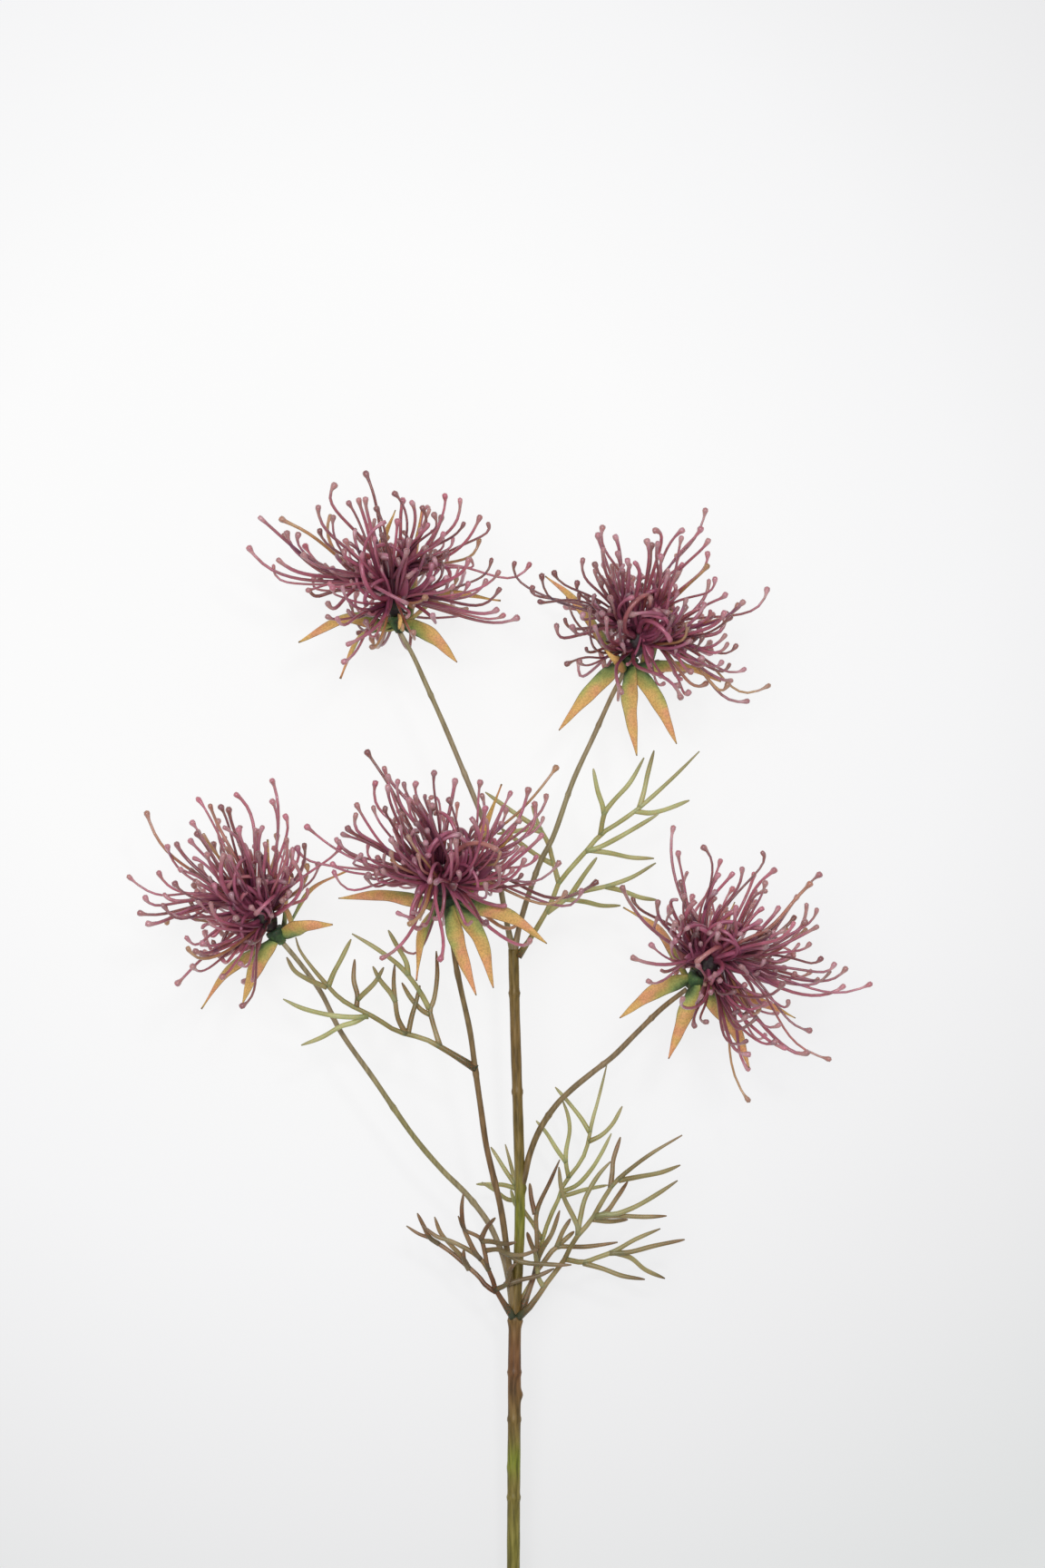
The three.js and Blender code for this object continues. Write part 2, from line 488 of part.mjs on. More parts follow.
// A style: a thin thread that leaves the core, sags away from the head's axis, curls back to it, and ends
// in a knob.
function style(index, tip, seed, fine, extra) {
  const { core, axis } = headPlaces(index);
  const along = tip.clone().sub(core).normalize();
  const curl = STYLE_CURL.least + STYLE_CURL.spread * chance(seed, 6);
  const leaving = along.clone().addScaledVector(axis, -curl).normalize();
  const arriving = along.clone().addScaledVector(axis, curl * STYLE_CURL.atTip);
  if (tip.z === KNOB_REST_HEIGHT) arriving.z = 0;
  arriving.normalize();
  const root = core.clone().addScaledVector(leaving, STYLE_ROOT);
  const length = tip.distanceTo(root);
  const first = root.clone().addScaledVector(leaving, length * STYLE_HANDLES.root);
  const second = tip.clone().addScaledVector(arriving, -length * STYLE_HANDLES.tip);
  for (const p of [first, second]) p.z = Math.max(p.z, KNOB_REST_HEIGHT);
  const shaft = STYLE_RADIUS + extra;
  const knob = KNOB_RADIUS + extra;
  const shaftRings = fine ? [[0.36, shaft], [0.68, shaft * 0.9]] : [[0.5, shaft]];
  const rings = [
    [0, shaft * 1.5], ...shaftRings, [1 - KNOB_LENGTH / length, shaft * 0.85],
    [1 - (0.4 * KNOB_LENGTH) / length, knob], [1, knob * 0.5],
  ];
  const radius = (t) => rings.find(([station]) => station >= t)[1];
  const curve = new THREE.CubicBezierCurve3(root, first, second, tip);
  return rod(curve, 3, rings.map(([station]) => station), roundSection(radius));
}

// A head's styles on their core. A style that would touch what is built is lifted or lowered clear, or left
// out.
function styles(index, built) {
  const { core, axis } = headPlaces(index);
  const ball = new THREE.SphereGeometry(CORE_RADIUS, 8, 6).scale(1, CORE_STRETCH, 1);
  ball.applyQuaternion(new THREE.Quaternion().setFromUnitVectors(new THREE.Vector3(0, 1, 0), axis));
  const pieces = [solidOf(ball.translate(...core))];
  const clearStyle = (tip, seed, fine) => {
    for (const shift of STYLE_SHIFTS) {
      const moved = tip.clone();
      moved.z = Math.max(KNOB_REST_HEIGHT, tip.z + shift);
      const isClear = style(index, moved, seed, fine, GAP).intersect(built).isEmpty();
      if (isClear) return style(index, moved, seed, fine, 0);
    }
    return null;
  };
  styleTips(index).forEach(({ seed, over, under }, rank) => {
    const outer = rank < OUTER_STYLES;
    if (outer || rank % FURTHER_STYLES_EVERY === 0) pieces.push(clearStyle(over, seed, outer));
    if (rank >= UNDER_STYLES_FROM && rank % UNDER_STYLES_EVERY === 1) {
      const reachesTable = rank >= TABLE_STYLES_FROM && rank % TABLE_STYLES_EVERY === 1;
      if (reachesTable && core.z < STYLE_REACH) under.z = KNOB_REST_HEIGHT;
      pieces.push(clearStyle(under, seed + UNDER_SEED, outer));
    }
  });
  for (const { seed, tip } of frontTips(index)) pieces.push(clearStyle(tip, seed, false));
  return fuse(pieces.filter((piece) => piece !== null)).subtract(built);
}

const STEM_BROWN = new THREE.MeshStandardMaterial({ color: 0x8a7350, roughness: 0.6, metalness: 0 });
const LEAF_GREEN = new THREE.MeshStandardMaterial({ color: 0x8f9a58, roughness: 0.55, metalness: 0 });
const BRACT_OCHRE = new THREE.MeshStandardMaterial({ color: 0xcf9550, roughness: 0.7, metalness: 0 });
const STYLE_PLUM = new THREE.MeshStandardMaterial({ color: 0x8e4a5a, roughness: 0.45, metalness: 0 });

const spray = new THREE.Group();

function addNode(name, solid, material) {
  const mesh = solid.getMesh();
  const geometry = new THREE.BufferGeometry();
  geometry.setAttribute("position", new THREE.BufferAttribute(Float32Array.from(mesh.vertProperties), 3));
  geometry.setIndex(new THREE.BufferAttribute(mesh.triVerts, 1));
  const node = new THREE.Mesh(geometry, material);
  node.name = name;
  spray.add(node);
}

addNode("stem", restOnTable(stem(0)), STEM_BROWN);
let built = stem(GAP);

for (const [name, form] of Object.entries(LEAVES)) {
  addNode(name, restOnTable(leaf(form, 0).subtract(built)), LEAF_GREEN);
  built = built.add(leaf(form, GAP));
}

HEADS.forEach((_, index) => {
  addNode(`bracts_${index + 1}`, restOnTable(bracts(index, 0).subtract(built)), BRACT_OCHRE);
  built = built.add(bracts(index, GAP));
});

HEADS.forEach((_, index) => {
  const head = restOnTable(styles(index, built));
  addNode(`styles_${index + 1}`, head, STYLE_PLUM);
  built = built.add(head);
});

export default spray;
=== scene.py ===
# A cut grevillea lying on a pale table, seen from straight above: one branching stem, five spidery flower
# heads with their bracts, and six finely cut leaves. Sizes are in mm and become metres in the meshes.
import math

import bpy
import numpy as np
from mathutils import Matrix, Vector


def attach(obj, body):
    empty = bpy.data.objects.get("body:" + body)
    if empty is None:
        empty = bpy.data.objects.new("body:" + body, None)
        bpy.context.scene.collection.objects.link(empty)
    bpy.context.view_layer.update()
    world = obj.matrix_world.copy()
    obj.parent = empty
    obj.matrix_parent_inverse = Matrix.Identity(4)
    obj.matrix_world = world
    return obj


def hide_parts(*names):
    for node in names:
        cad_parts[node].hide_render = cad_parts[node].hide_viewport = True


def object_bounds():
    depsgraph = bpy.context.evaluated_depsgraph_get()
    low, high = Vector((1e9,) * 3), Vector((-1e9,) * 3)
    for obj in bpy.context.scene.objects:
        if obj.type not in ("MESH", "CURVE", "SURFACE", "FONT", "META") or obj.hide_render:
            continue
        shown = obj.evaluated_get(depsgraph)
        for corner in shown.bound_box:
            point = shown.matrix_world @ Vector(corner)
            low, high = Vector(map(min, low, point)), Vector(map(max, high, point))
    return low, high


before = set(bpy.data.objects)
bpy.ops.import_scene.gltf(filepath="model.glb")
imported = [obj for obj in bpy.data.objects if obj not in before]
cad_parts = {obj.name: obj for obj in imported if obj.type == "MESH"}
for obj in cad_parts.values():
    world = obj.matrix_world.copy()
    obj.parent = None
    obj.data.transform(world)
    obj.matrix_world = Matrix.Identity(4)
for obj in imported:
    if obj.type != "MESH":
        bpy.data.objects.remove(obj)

CAD_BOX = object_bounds()
MM = 0.001
UP = np.array([0.0, 0.0, 1.0])

# Two numbers in round brackets are a range that chance draws from. A wave may start at any angle.
ANY_ANGLE = (0, 6)

# Places are given as they are seen from straight above: pixels to the right, pixels down, and height in mm.
MM_PER_PIXEL = 1 / 3
LENS = {"right": 576, "down": 864, "height": 2400}
MIDDLE = {"right": 553, "down": 1341}
LENS_MM = 150
SENSOR_MM = 36

# The table reaches this many metres to each side. It glows with painted light, brightest at a pixel and
# fading away from it, so that the spray's shadows on it stay faint.
TABLE_REACH = 4
PAINTED_GLOW_CENTRE = [350, 650]
PAINTED_TABLE_GLOW = 0.85

# The main stem narrows at a share of its length, over a few mm. A ring marks each place where a leaf has
# fallen. Slow waves, each with a height and an angle per mm, and low ridges keep it from being even. At its
# cut end three stations lie close together, and the first is half as wide.
STEM_RADIUS = {"lower": 2.36, "upper": 1.88, "narrows": 0.64, "over": 3}
STEM_RINGS = {"shares": [0.463, 0.54, 0.586, 0.638, 0.861, 0.957], "height": 0.35, "length": 0.9}
STEM_WAVES = [{"height": 0.035, "angle": 0.21}, {"height": 0.02, "angle": 0.57}]
STEM_RIDGES = {"count": 5, "height": 0.02, "angle": 0.6}
CUT_END = {"shares": [0, 2e-5, 6e-4], "first": 0.5}

# Buds on the stem: pixels down, the angle from the top towards +X, and height.
STEM_BUDS = [[1532, 1.6, 0.8], [1452, -1.5, 0.5], [1452, 1.5, 0.6], [1305, 1.4, 0.9], [1612, -1.2, 0.3]]
BUD_LENGTH = 5

# How green and how red the stem is: first all of it, and then stretches, each with its strength, its place in
# pixels down and its length.
STEM_COLOURS = {
    "green": [0.1, [0.8, 1603, 18], [0.62, 1335, 36], [0.3, 1700, 60]],
    "red": [0.12, [0.75, 1495, 62], [0.35, 1150, 90]],
}

# The stalks taper, flare at their roots, and have small bumps at about these shares of their length. They
# differ in girth and colour, which wavers along them, and each is pale under its cup.
STALK_RADIUS = {"root": 1.4375, "loss": 0.3125}
STALK_FLARE = {"height": 0.3, "length": 6}
STALK_BUMPS = {"shares": [0.24, 0.52, 0.77], "further": (0, 0.1), "height": 0.22, "length": 0.008}
STALK_WAVE = {"height": 0.03, "angle": (0.3, 0.4)}
COLOUR_WAVE = {"height": 0.12, "angle": 0.06}
STALK_LOOKS = {
    "girth": [0.74, 0.74, 0.78, 0.84, 0.82],
    "green": [0.06, 0.08, 0.15, 0.06, 0.08],
    "red": [0.02, 0.1, 0.05, 0.5, 0.4],
    "pale": [0.75, 0.65, 0.65, 0.35, 0.4],
}
PALE_END = {"height": 0.7, "length": 0.03}

# A leaf's lobes keep their thickness and then come to a point, and its midrib has a thick dark joint at its
# root. Its girth is the radius of a lobe.
LOBE_TAPER = {"root": 1.12, "loss": 0.22, "point": 0.62}
LOBE_GIRTH_SHARE = 0.86
LOBE_FLARE = {"height": 0.08, "length": 2}
LOBE_WAVE = {"height": 0.04, "angle": 0.5}
JOINT_HEIGHT = 0.55
BROWN_ROOT = {"height": 0.35, "length": 22}
BROWN_TIP = 0.5

# A bract is a thin blade on a small cup under the head. Its rims wave a little, and so does all of it. One
# that stands up goes out round the core first.
CUP_RADIUS = {"top": 3.4, "foot": 1.5}
CUP_LENGTH = {"all": 6, "under": 0.8}
CUP_BELOW_CORE = 9
BRACT_WIDTH = {"widest": 5.7, "at": 0.38, "root_loss": 0.62, "tip": 0.4}
BRACT_THICKNESS = 0.8
BRACT_RIM_SHARE = 0.35
BRACT_KEEL = 0.2
BRACT_WAVE = {"height": 0.3, "angle": 9}
RIM_WAVE = {"height": 0.05, "angle": 19}
BRACT_ROOT = 2
BRACT_SHOULDER = {"least": 2.5, "upright": 4.5}

# A style is a thread with a knob at its tip. Styles leave the core in bundles, each bundle in a thin strap,
# and part from them on their own way.
CORE_RADIUS = 4
CORE_LUMPS = {"count": 7, "height": 0.09, "twist": 9, "along": 15}
STYLE_ROOT = {"out": 2.5, "apart": 2}
STYLE_RADIUS = 0.6
STYLE_SHAFT = {"even": 0.9, "root": 0.6, "fade": 7}
STYLE_STATIONS = 11
STYLE_REACH = 46
STYLE_SAG = (0.05, 0.5)
STYLE_HOOK = (0.45, 1.55)
STYLE_SWING = {"height": (1.2, 8), "rise": 4, "fall": 8}
STYLE_WILD = {"most": 0.8, "few": 2.4, "share": 0.84}
STYLE_SWAY = 0.09
STYLE_HANDLES = {"root": (0.44, 0.6), "tip": (0.2, 0.36)}
STYLE_OWN_WAY = 0.35
BUNDLES = 20
BUNDLE_ASTRAY = 0.25
SEATS = (-3.6, 5.4)
STRAP = {
    "thickness": 0.6, "handle": 0.3, "reach": 0.5, "lift": 0.2, "spread": 5, "half_width": [1, 2.4],
    "tint": (0.1, 0.96),
}
DARK_SIDE_SHARE = 0.9
BEND = {"share": 0.66, "rise": 0.75, "up": 0.8}
KNOB_RADIUS = 1.15
KNOB_STATIONS = [3.9, 2.8, 1.9, 1.1, 0.35]
KNOB_PROFILE = {"from_tip": [0, 0.35, 1.15, 1.9, 2.7, 3.7], "share": [0.25, 0.64, 1, 0.72, 0.25, 0]}
KNOB_GIRTH = (0.82, 1.18)
KNOB_REST_HEIGHT = 0.5
HIGHEST = CAD_BOX[1].z / MM - 1

# The styles that are seen from above, those under and inside them, and the front ones and curls, which spread
# round the way up to the lens, along the head's axis and aside from it.
OVER = {"rise": (0.35, 0.95), "stray": (6, -6)}
UNDER = {"seed": 50, "turn": (0.1, -0.1), "reach": (0.4, 0.9), "fall": (0.6, 1.35)}
INNER = {"seed": 600, "turn": (0.35, -0.35), "reach": (0.42, 0.8), "rise": (0.4, 1.1), "knob": 0.72}
FRONT = {
    "seed": 80, "count": 22, "up": 0.8, "lean": (-0.35, 1.45), "aside": (-1.3, 1.3), "reach": (0.35, 0.8),
}
CURLS = {
    "seed": 300, "count": 16, "up": 1, "lean": (-0.3, 1.4), "aside": (-1.5, 1.5), "turn": (1.2, 3.8),
    "length": (18, 36), "shaft": (1.1, 1.7), "knob": (0.85, 1.15), "tint": (0.5, 0.95),
}

# How brown each leaf, or each of its strands, is, from 0 for fresh green to 1, how far strands differ in that
# by chance, and how long its dark joint is.
LEAF_LOOKS = {
    "leaf_upper": {"age": 0.1, "mixture": 0.25, "joint": 5},
    "leaf_middle": {"age": [
        0.35, 0.05, 0.5, 0.8, 0.45, 0, 0, 0.65, 0.35, 0.7, 0.7, 0.2, 0.1, 0.6,
    ], "mixture": 0.1, "joint": 11},
    "leaf_right": {"age": 0.62, "mixture": 0.5, "joint": 7},
    "leaf_inner": {"age": 0.85, "mixture": 0.4, "joint": 7},
    "leaf_back": {"age": 0.1, "mixture": 0.3, "joint": 6},
    "leaf_left": {"age": 0.92, "mixture": 0.3, "joint": 7},
}

# The main stem, from its cut end to its upper fork, and the five flower stalks.
MAIN_STEM = [
    [566, 2165, 2.2], [566, 1900, 9.1], [566, 1728, 13.6], [567, 1560, 17.9], [568, 1450, 20.7],
    [571, 1400, 22], [573, 1350, 23.2], [573, 1300, 24.5], [571, 1225, 26.4], [568, 1130, 28.9],
    [566, 1046, 31],
]
STALKS = [
    [
        [566, 1052, 30.9], [558, 1013, 32], [553, 985, 33], [549, 960, 33.6], [540, 925, 34.2],
        [528, 892, 34.8], [515, 860, 35.2], [490, 800, 36], [470, 755, 37], [455, 722, 38],
        [441, 697, 38.6],
    ],
    [
        [566, 1054, 30.9], [573, 1019, 32], [585, 979, 33], [596, 949, 33.6], [609, 924, 34.2],
        [632, 860, 35.4], [655, 810, 36.4], [674, 768, 37.4], [688, 741, 38],
    ],
    [
        [566, 1446, 20.6], [557, 1393, 21.5], [547, 1365, 22.3], [538, 1347, 22.8], [515, 1317, 24],
        [488, 1290, 25.2], [458, 1255, 26.7], [412, 1189, 29.5], [375, 1136, 31.5], [354, 1094, 33],
        [331, 1062, 34], [311, 1038, 34.6],
    ],
    [
        [567, 1446, 20.8], [559, 1379, 25], [552, 1331, 28], [544, 1297, 30], [536, 1262, 32],
        [530, 1221, 35], [524, 1179, 38], [518, 1136, 41], [508, 1090, 45], [502, 1060, 47],
        [496, 1012, 50.5],
    ],
    [
        [573, 1312, 24.2], [578, 1296, 25], [584, 1272, 26], [595, 1245, 27.4], [613, 1218, 29],
        [631, 1200, 30.4], [653, 1182, 32], [676, 1164, 33.6], [703, 1137, 35.6], [730, 1111, 37.2],
        [757, 1090, 38.6],
    ],
]

# Each leaf's first strand is its midrib, which ends in a lobe. The others are the side branches and lobes:
# the strand that each grows from, how far its tip rises above its root, and its route in pixels.
LEAVES = {
    "leaf_upper": {"girth": 1.03, "height": 31, "strands": [
        [None, 12, [571, 1054], [579, 1043], [591, 1024], [601, 1007], [610, 989], [616, 973], [630, 956],
            [646, 938], [663, 919], [683, 906], [705, 890], [744, 855], [771, 828]],
        [0, -3, [705, 890], [710, 872], [714, 853], [721, 827]],
        [0, -6, [700, 894], [716, 896], [731, 893], [760, 882]],
        [0, 5, [662, 920], [664, 906], [667, 895], [676, 883], [694, 863], [710, 835]],
        [3, 2, [666, 898], [664, 887], [659, 872], [654, 847]],
        [0, 6, [646, 938], [660, 934], [680, 924], [706, 909], [726, 897]],
        [0, -4, [648, 937], [672, 940], [696, 945], [721, 946]],
        [0, -9, [616, 973], [609, 947], [604, 929], [595, 912], [586, 888]],
        [7, -3, [597, 915], [578, 903], [560, 891], [535, 873]],
        [7, -2, [598, 917], [585, 914], [569, 916], [548, 919]],
        [7, -4, [609, 952], [594, 944], [568, 925], [551, 912]],
        [0, 8, [603, 1006], [614, 998], [634, 985], [671, 976], [696, 967], [723, 951]],
        [11, -5, [668, 977], [687, 982], [706, 989], [725, 992]],
        [11, -4, [623, 991], [646, 994], [663, 998], [684, 998]],
        [11, 5, [628, 988], [636, 976], [644, 964], [658, 945]],
    ]},
    "leaf_middle": {"girth": 1.05, "height": 38, "strands": [
        [None, 7, [525, 1178], [506, 1166], [486, 1154], [466, 1144], [449, 1140], [433, 1134], [416, 1123],
            [399, 1114], [383, 1106], [370, 1096], [361, 1086], [343, 1065], [330, 1046], [326, 1033]],
        [0, -5, [362, 1087], [368, 1072], [375, 1059], [387, 1035]],
        [0, 6, [360, 1088], [341, 1080], [325, 1070], [316, 1055]],
        [0, -2, [393, 1110], [394, 1097], [390, 1080], [391, 1057]],
        [3, 4, [394, 1102], [400, 1096], [413, 1083], [423, 1066]],
        [0, 4, [406, 1120], [390, 1121], [366, 1119], [333, 1111], [312, 1101]],
        [0, -3, [404, 1119], [392, 1126], [376, 1131], [355, 1143], [332, 1152]],
        [0, 3, [448, 1140], [439, 1123], [436, 1106], [434, 1083], [435, 1063]],
        [7, 4, [436, 1104], [431, 1095], [419, 1080], [411, 1065]],
        [0, -4, [450, 1139], [454, 1120], [459, 1103], [463, 1086]],
        [0, -5, [485, 1153], [476, 1123], [474, 1113], [478, 1103], [482, 1075], [481, 1048]],
        [10, 4, [473, 1112], [466, 1098], [454, 1080], [441, 1065], [416, 1046], [388, 1029]],
        [11, 2, [450, 1075], [448, 1061], [438, 1043], [428, 1025]],
        [10, -4, [474, 1118], [466, 1114], [453, 1100], [443, 1083]],
    ]},
    "leaf_right": {"girth": 1.04, "height": 22, "strands": [
        [None, 14, [571, 1452], [588, 1436], [599, 1419], [612, 1402], [623, 1387], [630, 1372], [639, 1359],
            [651, 1346], [658, 1334], [668, 1317], [677, 1304], [699, 1285], [720, 1270], [752, 1251]],
        [0, -2, [673, 1309], [675, 1292], [676, 1279], [684, 1253]],
        [0, -5, [682, 1301], [703, 1297], [729, 1292], [750, 1284]],
        [0, 4, [637, 1361], [637, 1353], [633, 1343], [620, 1315], [616, 1286]],
        [0, -1, [637, 1358], [640, 1341], [645, 1321], [659, 1296], [673, 1280]],
        [0, 5, [656, 1340], [668, 1338], [678, 1338], [700, 1330], [726, 1315], [747, 1301]],
        [0, -2, [656, 1342], [672, 1340], [686, 1340], [711, 1341], [735, 1340]],
        [0, -6, [656, 1341], [668, 1336], [680, 1320], [692, 1302]],
        [0, -8, [654, 1344], [672, 1346], [692, 1344]],
        [0, -4, [624, 1388], [643, 1391], [658, 1386], [677, 1379], [700, 1366], [728, 1354]],
        [9, 0, [672, 1381], [693, 1380], [721, 1373], [755, 1366]],
        [9, -5, [675, 1380], [695, 1386], [711, 1399], [733, 1409]],
        [9, 3, [643, 1392], [664, 1398], [686, 1406], [711, 1410]],
        [0, 5, [599, 1418], [594, 1409], [592, 1394], [589, 1375]],
    ]},
    "leaf_inner": {"girth": 1.04, "height": 20, "strands": [
        [None, 5, [574, 1448], [585, 1417], [590, 1401], [592, 1384], [592, 1363], [591, 1340], [594, 1328],
            [606, 1303], [617, 1278]],
        [0, -3, [590, 1338], [586, 1322], [584, 1304]],
        [0, 8, [592, 1389], [598, 1376], [608, 1360], [617, 1334]],
        [0, -2, [589, 1404], [600, 1390], [613, 1375], [630, 1374], [644, 1374], [662, 1372], [681, 1369]],
        [3, -2, [614, 1374], [624, 1365], [633, 1357]],
        [3, 2, [614, 1374], [620, 1358], [629, 1343]],
        [0, -4, [591, 1382], [586, 1372], [581, 1358]],
    ]},
    "leaf_back": {"girth": 0.93, "height": 18.5, "strands": [
        [None, -3, [567, 1449], [576, 1430], [584, 1416], [592, 1396], [597, 1370], [606, 1342], [615, 1323],
            [621, 1306], [632, 1291], [641, 1279], [647, 1264], [653, 1235], [657, 1221], [665, 1190],
            [669, 1173]],
        [0, 2, [649, 1258], [663, 1251], [675, 1239], [686, 1219]],
        [0, -3, [650, 1248], [641, 1233], [626, 1214], [612, 1198]],
        [0, 1, [627, 1298], [624, 1283], [624, 1269], [628, 1245], [626, 1229], [620, 1212]],
        [3, 2, [624, 1281], [614, 1267], [602, 1248], [591, 1235]],
        [0, 4, [618, 1314], [636, 1306], [651, 1290], [663, 1271], [674, 1249]],
        [0, -3, [617, 1318], [625, 1317], [645, 1311], [670, 1306]],
        [0, -2, [597, 1366], [588, 1349], [580, 1338], [572, 1325], [569, 1312], [567, 1300], [563, 1283],
            [557, 1261]],
        [7, -2, [568, 1306], [556, 1288], [548, 1275], [541, 1264]],
        [7, -3, [569, 1310], [556, 1306], [541, 1305], [525, 1305]],
        [7, 2, [571, 1322], [560, 1322], [546, 1312], [531, 1303]],
        [7, 3, [577, 1334], [569, 1328], [563, 1311]],
    ]},
    "leaf_left": {"girth": 1, "height": 22, "strands": [
        [None, 8, [566, 1452], [558, 1440], [551, 1429], [546, 1420], [543, 1410], [538, 1398], [534, 1378],
            [530, 1365], [524, 1361], [512, 1355], [505, 1340]],
        [0, 6, [530, 1366], [537, 1352], [546, 1342]],
        [0, 6, [531, 1368], [540, 1368], [558, 1371], [569, 1369]],
        [0, 10, [536, 1378], [549, 1377], [560, 1382], [576, 1383], [593, 1377]],
        [3, 3, [558, 1381], [571, 1389], [582, 1392], [600, 1393], [618, 1394], [630, 1394]],
        [0, 2, [539, 1400], [532, 1390], [522, 1381], [510, 1374], [495, 1367], [482, 1363], [465, 1350]],
        [5, 6, [530, 1388], [525, 1382], [517, 1367], [511, 1352], [509, 1332], [511, 1314]],
        [0, -2, [547, 1424], [536, 1417], [528, 1407], [517, 1397], [497, 1380], [484, 1371], [473, 1364],
            [462, 1360], [448, 1351]],
        [7, 2, [484, 1371], [474, 1364], [468, 1353], [460, 1337]],
        [7, 3, [516, 1396], [510, 1386], [497, 1372], [486, 1359], [479, 1341]],
        [7, 3, [517, 1399], [512, 1390], [511, 1377]],
        [0, 9, [547, 1421], [558, 1415], [563, 1398], [569, 1392]],
        [11, 2, [556, 1416], [576, 1410], [593, 1406], [611, 1398]],
    ]},
}

